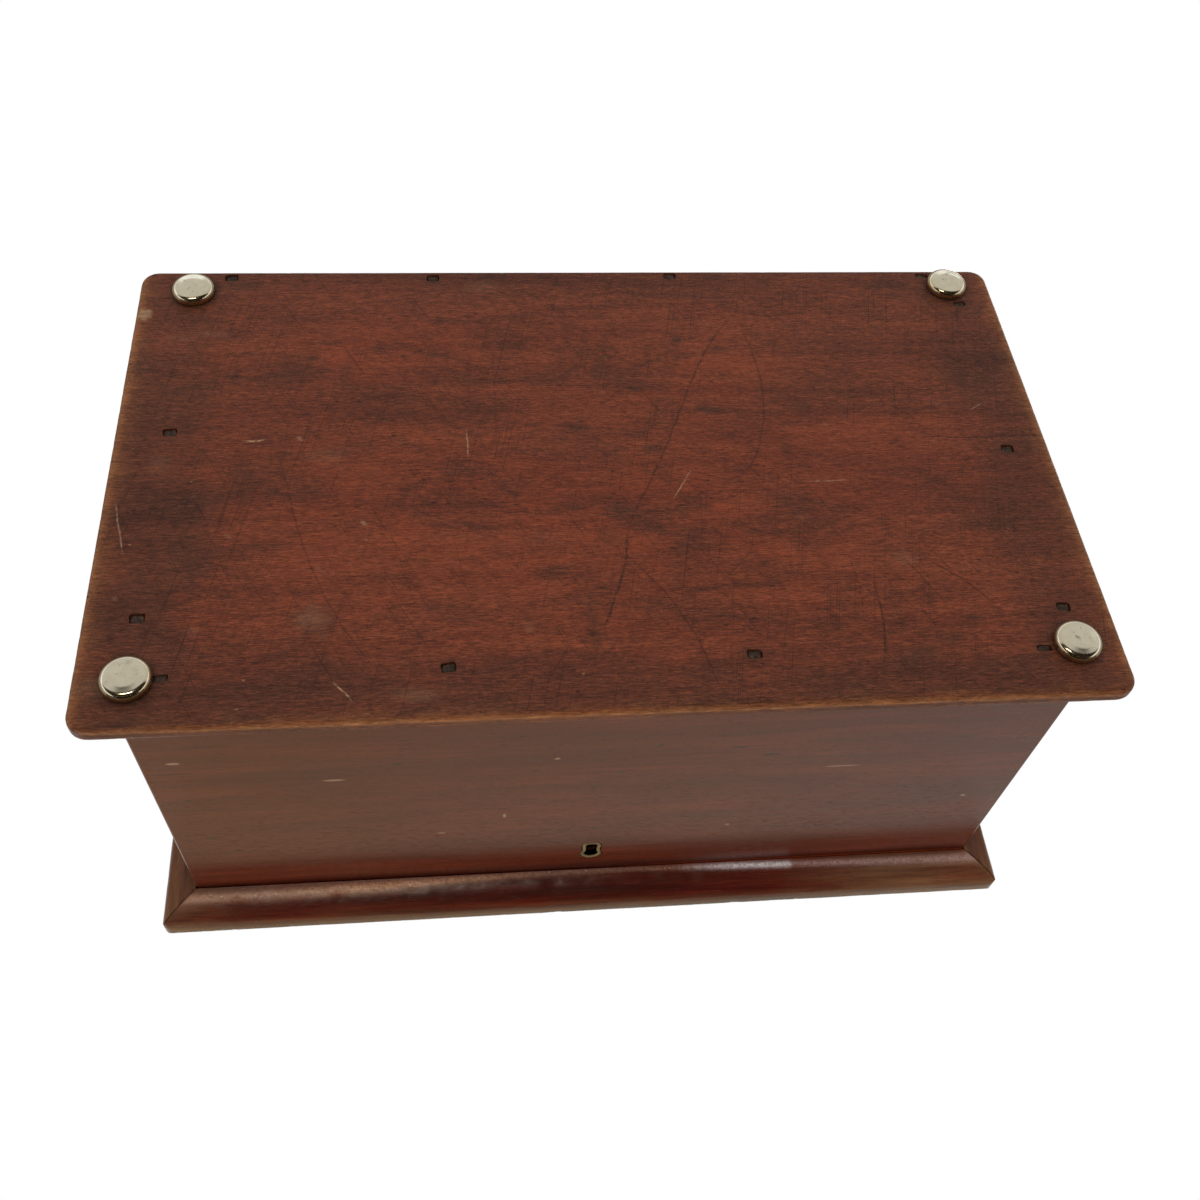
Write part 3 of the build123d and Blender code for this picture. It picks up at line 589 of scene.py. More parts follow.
def rounded_slab(low, high, corner, arris, step):
    """A board with rounded corners and rounded edges, as points and faces in millimetres."""
    turn = [arris * (1 - math.sin(math.radians(a))) for a in (90, 72, 54, 36, 18, 0)]
    near = turn + [3.6, 4.8, 6.2, corner]
    xs = stations(high[0] - low[0], near, near, step)
    ys = stations(high[1] - low[1], near, near, step)
    half = (high[:2] - low[:2]) / 2
    middle = (high[:2] + low[:2]) / 2
    plan = np.zeros((len(xs), len(ys), 2))
    gap = np.zeros((len(xs), len(ys)))
    for i, along in enumerate(xs):
        for j, up in enumerate(ys):
            x, y = along - half[0], up - half[1]
            u = (abs(x) - (half[0] - corner)) / corner
            v = (abs(y) - (half[1] - corner)) / corner
            if u > 0 and v > 0:
                ring = max(u, v)
                angle = math.pi / 4 * (v / u if u >= v else 2 - u / v)
                x = math.copysign(half[0] - corner + corner * ring * math.cos(angle), x)
                y = math.copysign(half[1] - corner + corner * ring * math.sin(angle), y)
                gap[i, j] = corner * (1 - ring)
            else:
                gap[i, j] = min(half[0] - abs(x), half[1] - abs(y))
            plan[i, j] = middle + (x, y)
    drop = np.zeros_like(gap)
    close = gap < arris
    drop[close] = arris - np.sqrt(np.maximum(arris**2 - (arris - gap[close]) ** 2, 0))
    nx, ny = gap.shape
    under = np.dstack([plan, low[2] + drop]).reshape(-1, 3)
    over = np.dstack([plan, high[2] - drop]).reshape(-1, 3)
    points = [under, over]
    faces = []
    for i in range(nx - 1):
        for j in range(ny - 1):
            a = i * ny + j
            faces.append((a, a + 1, a + ny + 1, a + ny))
            faces.append(tuple(nx * ny + k for k in (a, a + ny, a + ny + 1, a + 1)))
    rim = [i * ny for i in range(nx)] + [(nx - 1) * ny + j for j in range(1, ny)]
    rim += [i * ny + ny - 1 for i in range(nx - 2, -1, -1)] + list(range(ny - 2, 0, -1))
    rows = [rim]
    for level in np.linspace(low[2] + arris, high[2] - arris, 4)[1:-1]:
        row = under[rim]
        row[:, 2] = level
        start = sum(map(len, points))
        points.append(row)
        rows.append(list(range(start, start + len(rim))))
    rows.append([nx * ny + k for k in rim])
    return np.concatenate(points), faces + quads(rows)


# Nails, glides and the base board that holds them


def nail_heads():
    """Each nail's head: its middle, its depth and its turn, from the solids of the nails."""
    found = []
    points = np.unique(points_of(nodes["base_nails"].data).round(4), axis=0)
    for nail in clusters(points, 10):
        lowest = nail[:, 2].min()
        top = nail[nail[:, 2] < lowest + 0.05, :2]
        x, y = top.mean(0)
        far = top - (x, y)
        spread = np.linalg.eigh(far.T @ far)[1][:, -1]
        found.append((x, y, lowest, math.atan2(spread[1], spread[0])))
    return sorted(found)


nails = nail_heads()
GLIDE_RADIUS = 9.5
glide_names = ["glide_front_left", "glide_front_right", "glide_back_left", "glide_back_right"]
glide_centres = {name: sum(span_mm(name)) / 2 for name in glide_names}


def pocket_cutter(index, x, y, z, turn):
    """The uneven pocket that a nail's head was driven into, narrower beside a glide."""
    sides, squareness = 20, 0.42
    beside = min(math.hypot(x - c[0], y - c[1]) for c in glide_centres.values()) < 15.5
    wide, deep = 2.95, 1.5 if beside else 2.15
    mouth, floor = [], []
    for k in range(sides):
        a = 2 * math.pi * k / sides
        u, v = math.cos(a), math.sin(a)
        edge = noise.noise(Vector((u * 1.3, v * 1.3, index * 3.1))) * 0.35
        px = (wide + edge) * math.copysign(abs(u) ** squareness, u)
        py = (deep + edge * 0.7) * math.copysign(abs(v) ** squareness, v)
        cx = x + px * math.cos(turn) - py * math.sin(turn)
        cy = y + px * math.sin(turn) + py * math.cos(turn)
        mouth.append((cx, cy, base_low[2] - 1.0))
        floor.append((cx, cy, z + 1.3))
    rows = numbered(2, sides)
    return mouth + floor, [rows[0], rows[1][::-1], *quads(rows)]


def build_base():
    points, faces = rounded_slab(base_low, base_high, corner=8.0, arris=2.6, step=1.7)
    mesh = new_mesh("base_board_aged", points, faces, sharp=60)
    co = points_of(mesh)
    past_edge = highest([np.abs(co[:, 0]) - half_base, base_low[1] - co[:, 1], co[:, 1] - back_y])
    rough = fractal(co, 9.0, 4, 3.0)
    long = fractal(co * (0.25, 1, 1), 16.0, 2, 8.0)
    nick = unit(fractal(co, 2.6, 2, 5.0) - 0.25)
    rim = unit(1 + past_edge / 2.4)
    press = 0.05 + 0.03 * long + rim * (0.1 + 0.05 * rough + 0.22 * nick)
    press_in(mesh, np.clip(press, 0, 0.7))
    cut_points, cut_faces = [], []
    for index, nail in enumerate(nails):
        more, around = pocket_cutter(index, *nail)
        cut_faces += [[i + len(cut_points) for i in face] for face in around]
        cut_points += more
    cutter = put("cutter", new_mesh("cutter", cut_points, cut_faces))
    whole = put("whole", mesh)
    cut = whole.modifiers.new("pockets", "BOOLEAN")
    cut.object = cutter
    cut.solver = "EXACT"
    bpy.context.view_layer.update()
    carved = bpy.data.meshes.new_from_object(
        whole.evaluated_get(bpy.context.evaluated_depsgraph_get())
    )
    for obj in (cutter, whole):
        bpy.data.objects.remove(obj)
    carved.name = "base_board_aged"
    shade(carved, 40)
    paint_base(carved)
    add_piece("base_board_aged", carved, base_material(), "case", ["base_board"])


def paint_base(mesh):
    """Stores where the board is grimy, worn, red, pale or scratched, with painted shade in its grime round
    the nails and glides.
    """
    co = points_of(mesh)
    plan = co[:, :2]
    from_front, from_back = co[:, 1] - base_low[1], back_y - co[:, 1]
    from_left, from_right = half_base + co[:, 0], half_base - co[:, 0]
    sides = np.minimum(from_left, from_right)
    # Grime round the nail pockets and the glides, which is also painted shade: dark rings where the pockets
    # sink in and where the domes stand on the board
    spots = BASE_DARK + [(x, y, 5.6, 3.8, 0.7) for x, y, _, _ in nails]
    spots += [(x, y, 13, 5, 0.6) for x, y in ((154, 109), (-150, 109.5), (40, 115), (-66, 116))]
    grime_and_shade = [strength * blob(plan, *spot) for *spot, strength in spots]
    for centre in glide_centres.values():
        away = np.hypot(*(plan - centre[:2]).T) - GLIDE_RADIUS
        grime_and_shade += [unit(1 - away / 4.5), 0.5 * unit(1 - away / 12)]
    grime_and_shade.append(0.5 * unit(1 - (from_back - 1) / 9))
    drift = fractal(co * (0.6, 1, 1), 26.0, 4, 17.0)
    for distance, start, soft, strength in (
        (from_right, 40, 14, 0.62), (from_left, 34, 18, 0.5), (from_front, 20, 8, 0.62),
        (from_back, 13, 10, 0.3),
    ):
        band = unit(0.5 + (start + 9 * drift - distance) / soft)
        grime_and_shade.append(strength * band * (0.75 + 0.5 * np.clip(drift, -0.5, 0.5)))
    ragged = 0.5 + 0.5 * fractal(co * (0.5, 1, 1), 5.0, 3, 11.0)
    wear = highest([
        0.95 * unit(1.15 - from_front / 1.7), 0.4 * ragged * unit(1.2 - from_front / 6.0),
        0.95 * unit(1.4 - sides / 4.0), 0.6 * ragged * unit(1.2 - sides / 9.0),
        0.5 * unit(1 - from_back / 1.6),
    ])
    wear[co[:, 2] > base_low[2] + 3.0] *= 0.25
    red = highest([
        0.9 * blob(plan, 10, -30, 150, 62), 0.9 * blob(plan, 95, 66, 62, 20),
        0.7 * blob(plan, -30, 60, 70, 30), 0.6 * blob(plan, -110, 10, 50, 20),
    ])
    pale = [strength * 0.6 * blob(plan, *spot) for *spot, strength in BASE_LIGHT]
    pale += [0.9 * unit(1.6 - np.hypot(*(plan - (x, y)).T) / size) for x, y, size in BASE_DOTS]
    pale.append(blob(plan, 196.0, 90.7, 3.4, 2.6) > 0.25)
    set_layer(mesh, "tone", [highest(grime_and_shade), wear, red, highest(pale)])
    set_layer(mesh, "scratch", nearest_on_lines(plan, BASE_LINES))
    set_layer(mesh, "scrape", nearest_on_lines(plan, BASE_PALE))


build_base()


# Moulding: own strips with worn edges, dents and mitres that have opened a little


# How far above the lip the ovolo ends
OVOLO_RISE = 10.9


def section_rows():
    """The moulding's section as distances out from the lid and heights."""
    ledge, rise, small = 5.0, 0.85, 3.5
    rows = []
    for share in (0, 0.2, 0.4, 0.6, 0.8):
        rows.append((ledge * share, lip_z + rise * (0.45 * share + 0.55 * share**2)))
    start, end = Vector((ledge, lip_z + rise)), Vector((reach, lip_z + OVOLO_RISE))
    lean = Vector((ledge, rise * 1.55)).normalized()
    pull, push = start + 6.4 * lean, end - Vector((0, 6.0))
    for step in range(19):
        t = step / 18
        point = (1 - t) ** 3 * start + 3 * t * (1 - t) ** 2 * pull
        point += 3 * t**2 * (1 - t) * push + t**3 * end
        rows.append(tuple(point))
    rows.append((reach, (lip_z + OVOLO_RISE + top_z - small) / 2))
    for step in range(7):
        a = math.radians(90 * step / 6)
        rows.append((reach - small + small * math.cos(a), top_z - small + small * math.sin(a)))
    rows += [(out, top_z) for out in (9, 6, 3, 0)]
    rows += [(0, top_z - (top_z - lip_z) * k / 4) for k in (1, 2, 3)]
    return rows


def round_corner(x, y, radius=4):
    """Keeps a point inside the rounded front corner."""
    cx, cy = math.copysign(lid_x + reach - radius, x), lid_front_y - reach + radius
    away = math.hypot(x - cx, y - cy)
    if abs(x) > abs(cx) and y < cy and away > radius:
        return cx + (x - cx) * radius / away, cy + (y - cy) * radius / away
    return x, y


def strip_mesh(name, which):
    front = which == "front"
    side = -1 if which == "left" else 1
    near = [0, 0.35, 0.8, 1.4, 2.2, 3.2, 4.6, 6.5]
    tail = near if front else [0, 1, 2]
    plain = 2 * lid_x if front else back_y - lid_front_y
    count = len(stations(plain, near, tail, 1.3))
    section = section_rows()
    points, mitre = [], []
    for out, z in section:
        length = plain + (2 * out if front else out)
        inner = np.linspace(near[-1], length - tail[-1], count - len(near) - len(tail) + 2)
        for mark in [*near[:-1], *inner, *(length - d for d in reversed(tail[:-1]))]:
            x, y = side * (lid_x + out), lid_front_y - out + mark
            if front:
                x, y = mark - lid_x - out, lid_front_y - out
            points.append((*round_corner(x, y), z))
            mitre.append(min(mark, length - mark) if front else mark)
    rings = numbered(len(section), count)
    faces = quads([*rings, rings[0]], closed=False)
    faces += [[ring[0] for ring in rings], [ring[-1] for ring in reversed(rings)]]
    mesh = new_mesh(name, points, faces, 50)
    co, mitre = points_of(mesh), np.array(mitre)
    x, y, z = co.T
    rough = fractal(co, 11.0, 3, 4.0)
    small = unit(fractal(co, 3.0, 2, 9.0) - 0.3)
    out = np.maximum(np.abs(x) - lid_x, lid_front_y - y)
    low_edge = unit(1 - np.abs(out - 5.2) / 3.0) * unit(1 - (z - lip_z) / 3)
    opened = 0.2 * unit(1 - mitre / 0.7)
    press = (0.05 + 0.07 * rough) * unit(out) + unit(out / reach) * 0.3 * small
    press += 0.3 * low_edge * unit(rough) + opened * unit(out - 0.2)
    for dent_x, dent_y, wide, deep in RIM_DENTS:
        press += deep * unit(1 - np.hypot((x - dent_x) / wide, (y - dent_y) / 6)) * unit(out)
    pins = np.min([np.hypot(*(co - pin).T[:2]) for pin in pin_ends], 0)
    drop = z - pin_ends[0][2]
    close = unit((np.hypot(pins, drop) - 2.2) / 7.0)
    press_in(mesh, np.clip(press, 0, 0.9) * close)
    levels = unit((z - lip_z) / (top_z - lip_z))
    set_layer(mesh, "rim", [unit(1 - mitre / 0.55), unit(np.abs(out) / reach), levels, np.exp(-mitre / 24)])
    scuff_and_highlight, painted_window_streak = np.zeros((2, len(co)))
    # The ledge's scuffed band, which also stands in as a painted highlight, and its bright streak, a
    # painted reflection of a window
    if front:
        place, width = (np.interp(x, *zip(*column)) for column in (SCUFF_HIGHLIGHT_PLACE, SCUFF_HIGHLIGHT_WIDTH))
        scuff_and_highlight = np.exp(-(((out - place) / width) ** 2)) * (z < lip_z + 5)
        start, rise, end, fade = PAINTED_STREAK
        painted_window_streak = unit((x - start) / rise) * unit((end - x) / fade)
    set_layer(mesh, "scuff_and_highlight", [scuff_and_highlight, painted_window_streak, unit(1.7 - np.hypot(pins * 0.8, drop)), close])
    return mesh


def pin_places():
    """The middle of each moulding pin's outer end."""
    co = points_of(nodes["moulding_pins"].data)
    ends = co[(co[:, 1] < rim_low[1] + 0.02) | (np.abs(co[:, 0]) > rim_high[0] - 0.02)]
    return [end.mean(0) for end in clusters(ends, 6)]


pin_ends = pin_places()
# The scuffed band of the front moulding's ledge, lightened as a painted highlight: x with its distance out,
# and x with its width
SCUFF_HIGHLIGHT_PLACE = [
    (-175, 4), (-140, 3.6), (-97, 2.7), (-20, 1.3), (30, 1.3), (70, 2.4), (105, 3.6), (170, 4.6),
]
SCUFF_HIGHLIGHT_WIDTH = [
    (-175, 2), (-97, 1.35), (-20, 1.1), (30, 1.4), (70, 1.6), (105, 2.2), (170, 2.2),
]
# The painted reflection of a window, a bright streak in that band: where it starts and over what length,
# and the same for its end
PAINTED_STREAK = (-98.5, 1.6, -40, 26)
# Dents along the moulding: x, y, half width, depth
RIM_DENTS = [
    (120, -117, 5, 0.5), (20, -120, 7, 0.35), (-48, -116, 6, 0.4), (-70, -121, 5, 0.35),
    (-120, -118, 6, 0.3), (168, -118, 5, 0.4), (75, -118, 4, 0.3), (198, -60, 5, 0.4),
    (-198, 20, 5, 0.4),
]


def rim_material(name, axis, seed, faded, specular):
    """The moulding's finish: faded is how far its colour has gone towards olive brown."""
    m = Finish(name, specular)
    figure, streak, fibre, pore = wood_figure(m, axis, seed)
    mitre, out, level, ends = m.layer("rim")
    scuff_and_highlight, painted_window_streak, mark, _ = m.layer("scuff_and_highlight")
    blend = m.total((figure, 0.5), (streak, 0.35), (fibre, 0.15))
    colour = m.ramp(blend, *zip(TONE_STOPS, RIM))
    cloud = m.streaks(axis, 60, 9, seed + 4, 5, 0.6, 0.5)
    colour = m.mix(m.span(cloud, 0.48, 0.7, 0.0, 0.5), colour, RIM[3])
    drift = m.plus(level, m.times(m.math("SUBTRACT", cloud, 0.5), 0.3))
    flank = m.span(level, 1.0, 0.94)
    # painted reflection: an olive-brown band low on the outer face, where the polish would mirror a floor
    # in front; it also reads as faded polish
    lower = m.times(m.span(drift, 0.26, 0.56), m.span(out, 0.6, 0.95), flank)
    olive = m.ramp(blend, (0.38, (70, 42, 22)), (0.62, (102, 68, 38)))
    # painted shadow: the top arris darkened, as by the contact shadow of a floor under the upturned box
    edge = m.times(m.span(drift, 0.7, 0.95, 0.0, 0.6), flank)
    colour = m.mix(edge, m.stain(colour, (lower, 0.85, olive)), (52, 34, 20))
    far = m.span(m.x, -88, -140, faded, 0.8) if axis == "X" else faded
    gone = m.times(
        m.math("MAXIMUM", ends, far), m.span(cloud, 0.34, 0.6, 0.35, 1.0),
        m.span(flank, 0.0, 1.0, 0.15, 1.0),
    )
    tan = m.ramp(blend, (0.38, (94, 60, 32)), (0.62, (138, 96, 58)))
    colour = m.stain(colour, (gone, 0.75, tan), (pore, 0.45, (34, 14, 10)))
    rub = m.streaks(axis, 14, 3, seed + 6, 4, 0.7)
    grit = m.clouds(1.3, seed, 4, 0.75)
    # painted highlight: the scuffed band lightened to pale tan and pink, with a near-white painted
    # reflection of a window and painted glints; it is partly real scuffing
    scuff_highlight = m.times(scuff_and_highlight, m.span(grit, 0.36, 0.58, 0.4, 1.0), m.span(painted_window_streak, 0.0, 1.0, 0.8, 1.0))
    pale = (152, 112, 94)
    for start, end, tone in (
        (20, 90, (208, 152, 112)), (112, 150, (166, 118, 90)), (-60, -110, (184, 148, 142)),
    ):
        pale = m.mix(m.span(m.x, start, end), pale, tone)
    colour = m.mix(scuff_highlight, colour, m.mix(painted_window_streak, pale, (232, 222, 224)))
    glint = m.specks(1.6, 0.35, 0.4, axis, 1.6, seed + 3)
    colour = m.mix(m.times(glint, m.span(scuff_and_highlight, 0.4, 0.9, 0.0, 0.6)), colour, (214, 196, 180))
    nicks = m.specks(10, 0.5, 0.45, axis, 1.6, seed + 7)
    dents = m.specks(14, 0.8, 0.4, axis, 1.8, seed + 8)
    colour = m.stain(
        colour, (mark, 0.85, (34, 22, 14)), (nicks, 0.6, (166, 132, 104)), (dents, 0.7, (34, 18, 13)),
    )
    colour = m.mix(m.times(mitre, m.span(rub, 0.35, 0.6, 0.35, 0.85)), colour, (34, 20, 13))
    rough = m.total((rub, 0.16), (cloud, 0.08), (fibre, 0.06), (gone, 0.12))
    waves = m.streaks(axis, 30, 9, seed + 9, 2, 0.5)
    height = m.total(
        (waves, 0.9), (fibre, 0.12), (pore, -0.2), (nicks, -0.4), (dents, -0.9), (rub, 0.15),
        (mark, -2.0),
    )
    return m.finish(colour, m.plus(rough, 0.1), height, 0.1)


for which, axis, seed, faded, specular in (
    ("front", "X", 31, 0.0, 0.42), ("left", "Y", 37, 0.55, 0.22), ("right", "Y", 41, 0.9, 0.22),
):
    piece = strip_mesh(f"moulding_{which}_worn", which)
    finish = rim_material(f"polished_moulding_{which}", axis, seed, faded, specular)
    add_piece(f"moulding_{which}_worn", piece, finish, "lid", [f"moulding_{which}"])


# Glides: pressed nickel domes, slightly dented


def nickel_material():
    m = Finish("worn_nickel", metallic=1.0)
    radial, height, _, _ = m.layer("dome")
    cloud, fine = m.clouds(3.4, 3, 4, 0.65), m.clouds(0.6, 6, 3, 0.7)
    colour = m.ramp(cloud, (0.35, (236, 230, 210)), (0.62, (248, 242, 224)))
    brassy = m.times(m.span(radial, 0.76, 0.98), m.span(cloud, 0.3, 0.56))
    spots = m.times(m.span(m.clouds(3.0, 11, 2, 0.5), 0.6, 0.7), m.span(radial, 0.8, 0.4))
    rust = m.times(m.span(height, 0.6, 0.92), m.span(fine, 0.4, 0.6))
    pits = m.specks(3.2, 0.3, 0.25, seed=4)
    colour = m.stain(
        colour, (brassy, 0.8, (204, 178, 118)), (spots, 0.5, (128, 122, 110)),
        (rust, 0.7, (92, 58, 34)), (pits, 0.7, (84, 68, 50)),
    )
    rough = m.plus(m.total((cloud, 0.06), (spots, 0.1), (rust, 0.3)), 0.12)
    return m.finish(colour, rough, m.times(pits, -0.15), 0.08)


def glide_mesh(name, index):
    low, high = span_mm(name)
    radius = (high[0] - low[0]) / 2
    floor = base_low[2]
    cx, cy, _ = glide_centres[name]
    # The rolled rim's radius, the profile's own height and the points round the dome
    roll, tall, around = 2.6, 4.6, 72
    profile = [(1.4, 0.01), (2.8, 0.03), (4.0, 0.08), (5.4, 0.2), (radius - roll, 0.5)]
    for step in range(1, 12):
        a = math.radians(90 * step / 11)
        profile.append((radius - roll + roll * math.sin(a), 0.5 + roll - roll * math.cos(a)))
    profile += [(radius, 3.8), (radius - 0.1, 4.35), (radius - 0.5, tall)]
    turns = [2 * math.pi * k / around for k in range(around)]
    points = [
        (cx + r * math.cos(a), cy + r * math.sin(a), z * floor / tall)
        for r, z in profile for a in turns
    ]
    rings = numbered(len(profile), around)
    face, back = len(points), len(points) + 1
    points += [(cx, cy, 0.0), (cx, cy, floor)]
    first, last = ([*ring, ring[0]] for ring in (rings[0], rings[-1]))
    faces = quads(rings)
    for k in range(around):
        faces += [(face, first[k + 1], first[k]), (back, last[k], last[k + 1])]
    mesh = new_mesh(f"{name}_dome", points, faces, 70)
    co = points_of(mesh)
    local = co - (cx, cy, 0) + (index * 40, 0, 0)
    dent = np.clip(fractal(local, 9.0, 1, 2.0), -0.2, 1) + 0.2
    away = np.hypot(co[:, 0] - cx, co[:, 1] - cy)
    press_in(mesh, 0.03 * dent * unit(away / 3.0) * unit(floor - co[:, 2]))
    none = np.zeros(len(co))
    set_layer(mesh, "dome", [away / radius, co[:, 2] / floor, none, none])
    return mesh


nickel = nickel_material()
for index, glide_name in enumerate(glide_names):
    dome = glide_mesh(glide_name, index)
    add_piece(f"{glide_name}_dome", dome, nickel, "case", [glide_name])


# Nail heads: hammered iron, with their shanks


def iron_material():
    m = Finish("rusted_iron", 0.15)
    cloud, fine = m.clouds(1.6, 2, 4, 0.65), m.clouds(0.4, 6, 3, 0.7)
    colour = m.ramp(cloud, (0.34, (38, 28, 23)), (0.52, (58, 45, 37)), (0.68, (84, 62, 46)))
    colour = m.mix(m.span(fine, 0.6, 0.75, 0.0, 0.6), colour, (30, 24, 22))
    rough = m.plus(m.times(fine, 0.4), 0.4)
    return m.finish(colour, rough, m.total((cloud, 1.0), (fine, 0.4)), 0.12)


def nail_mesh():
    tool = bmesh.new()
    wide, deep, length = 2.4, 1.85, 28.0
    for index, (x, y, z, turn) in enumerate(nails):
        made = bmesh.ops.create_grid(tool, x_segments=9, y_segments=7, size=0.5)["verts"]
        for v in made:
            u, w = v.co.x * 2, v.co.y * 2
            wobble = noise.noise(Vector((u * 1.4, w * 1.4, index * 2.3)))
            held = 1 - 0.1 * abs(u) * abs(w)
            px, py = u * wide * (1 + 0.05 * wobble), w * deep * (1 + 0.08 * wobble)
            level = 0.16 * max(abs(u), abs(w)) ** 6 + 0.1 * (wobble + 0.5)
            v.co = Vector((px * held, py * held, level))
        rim = dict.fromkeys(e for v in made for e in v.link_edges if e.is_boundary)
        skirt = bmesh.ops.extrude_edge_only(tool, edges=list(rim))["geom"]
        for v in (g for g in skirt if isinstance(g, bmesh.types.BMVert)):
            v.co.z = 1.05
            made.append(v)
        place = Matrix.Translation((x, y, z)) @ Matrix.Rotation(turn, 4, "Z")
        for v in made:
            v.co = place @ v.co
        middle = Matrix.Translation((x, y, z + 1 + length / 2))
        bmesh.ops.create_cone(
            tool, cap_ends=True, segments=4, radius1=1.9, radius2=1.1, depth=length,
            matrix=middle @ Matrix.Rotation(turn + math.pi / 4, 4, "Z"),
        )
    bmesh.ops.scale(tool, vec=(0.001, 0.001, 0.001), verts=tool.verts)
    mesh = bpy.data.meshes.new("base_nails_hammered")
    tool.to_mesh(mesh)
    tool.free()
    shade(mesh, 40)
    return mesh


add_piece("base_nails_hammered", nail_mesh(), iron_material(), "case", ["base_nails"])


# Keyhole liner: filed by hand, so its wall is uneven


def brass_material(name, low, high, polish, dirt_and_shade=None):
    """Brass from one tone to another, darkened by painted shade inside the hole behind a plane where one is
    given.
    """
    m = Finish(name, metallic=1.0)
    cloud, fine = m.clouds(4.0, 7, 4, 0.6), m.clouds(0.7, 3, 3, 0.7)
    tarnish = m.times(m.span(fine, 0.5, 0.7), m.span(cloud, 0.62, 0.4))
    colour = m.stain(m.ramp(cloud, (0.36, low), (0.64, high)), (tarnish, 0.7, (74, 58, 38)))
    lines = m.streaks("X", 22, 0.35, 5, 2, 0.5)
    rough = m.plus(m.total((cloud, 0.2), (fine, 0.15), (lines, 0.12)), polish)
    if dirt_and_shade is not None:
        # painted shade: the liner's wall near black behind the plane, deep in the keyhole
        painted_hole_shade = m.span(m.y, dirt_and_shade, dirt_and_shade + 0.3)
        colour = m.mix(painted_hole_shade, colour, (20, 12, 8))
        rough = m.math("MAXIMUM", rough, painted_hole_shade)
    return m.finish(colour, rough, m.total((cloud, 0.5), (fine, 0.15), (lines, 0.12)), 0.08)


def keyhole_outline(count):
    """Points round the keyhole, with its round head up and its wider foot below, and the
    directions out from them."""
    low, high = span_mm("keyhole_escutcheon")
    cx = (low[0] + high[0]) / 2
    wall, radius = 1.9, 3.3
    head = high[2] - wall - radius
    foot = low[2] + wall
    raw = []
    for step in range(25):
        a = math.radians(-43 + (180 + 86) * step / 24)
        raw.append((cx + radius * math.cos(a), head + radius * math.sin(a)))
    half_foot = [(2.72, 1.2), (2.4, 0.35), (1.7, 0)]
    raw += [(cx - x, foot + z) for x, z in half_foot]
    raw += [(cx + x, foot + z) for x, z in reversed(half_foot)]
    closed = np.array([*raw, raw[0]])
    run = lengths(closed)[1]
    marks = np.linspace(0, run[-1], count, endpoint=False)
    line = np.stack([np.interp(marks, run, closed[:, k]) for k in (0, 1)], 1)
    for _ in range(2):
        line = (np.roll(line, 1, 0) + 2 * line + np.roll(line, -1, 0)) / 4
    ahead = np.roll(line, -1, 0) - np.roll(line, 1, 0)
    out = np.stack([ahead[:, 1], -ahead[:, 0]], 1)
    return line, out / np.hypot(*out.T)[:, None]


def liner_mesh():
    count, wide, deep = 120, 1.62, 3.3
    line, out = keyhole_outline(count)
    wobble, bite = (
        np.array([noise.noise(Vector((*p, level)) * size) for p in line])
        for level, size in ((4.0, 0.45), (9.0, 0.8))
    )
    inner = line + out * (0.12 * bite)[:, None]
    wall = wide + 0.28 * wobble
    section = [(0.0, deep), (0.0, 0.45), (0.12, 0.12), (0.45, 0.02)]
    section += [(1.1, 0.01), (1.5, 0.03), (wide, 0.2), (wide, deep)]
    points = []
    for share, behind in section:
        ring = inner + out * (share / wide * wall)[:, None]
        points += [(x, front_y + behind, z) for x, z in ring]
    rings = numbered(len(section), count)
    return new_mesh("keyhole_liner", points, quads([*rings, rings[0]]), 50)


dull_brass = brass_material("dull_brass", (164, 148, 112), (200, 184, 144), 0.3, front_y + 0.35)
add_piece("keyhole_liner", liner_mesh(), dull_brass, "case", ["keyhole_escutcheon"])


# Finishes of the CAD nodes that stay


def steel_material():
    m = Finish("grey_steel", metallic=1.0)
    cloud, fine = m.clouds(3.0, 7, 4, 0.6), m.clouds(0.5, 3, 3, 0.7)
    colour = m.ramp(cloud, (0.36, (112, 106, 98)), (0.64, (158, 150, 138)))
    colour = m.mix(m.span(fine, 0.56, 0.7, 0.0, 0.6), colour, (84, 66, 50))
    rough = m.plus(m.total((cloud, 0.2), (fine, 0.2)), 0.2)
    return m.finish(colour, rough, m.total((cloud, 0.5), (fine, 0.2)), 0.06)


def stopping_material():
    """The dark filler over the moulding's pins."""
    m = Finish("dark_stopping", 0.3)
    cloud = m.clouds(1.2, 4, 3, 0.6)
    colour = m.ramp(cloud, (0.36, (40, 26, 16)), (0.64, (70, 48, 28)))
    return m.finish(colour, 0.5, cloud, 0.1)


# Small marks of the front: x, z, half width, half height
FRONT_SPOTS = [
    (173.2, 87.9, 1.5, 1.2), (169.6, 124.3, 3.2, 1), (160.8, 138.5, 1, 1), (86, 63.2, 2.4, 1),
    (69.4, 92.3, 2.4, 0.7), (4.7, 91.9, 1.6, 1), (-5.7, 78.7, 2.2, 0.7), (2.1, 133.1, 1.4, 1.6),
    (-20.6, 56.8, 1.6, 1), (-68.7, 68.8, 4, 0.9), (-54.3, 61.2, 4, 0.8), (-98.8, 99.8, 1.2, 0.9),
    (-105, 117.5, 2, 0.8), (-113.4, 154.8, 2.4, 0.8), (176, 64.5, 11, 0.5), (185, 70, 2.4, 0.5),
    (158, 43, 11, 0.5), (-150, 60, 6, 0.5),
]
FRONT_PALE = [
    (173, 55.7, 3, 1), (113, 75.3, 5, 0.8), (71, 130.6, 2.2, 0.5), (42.9, 115.9, 0.8, 2),
    (21.6, 64.6, 1.4, 0.9), (-102, 82, 9, 0.5), (-166.8, 116.6, 1.3, 1), (-60, 136, 1.2, 0.8),
]

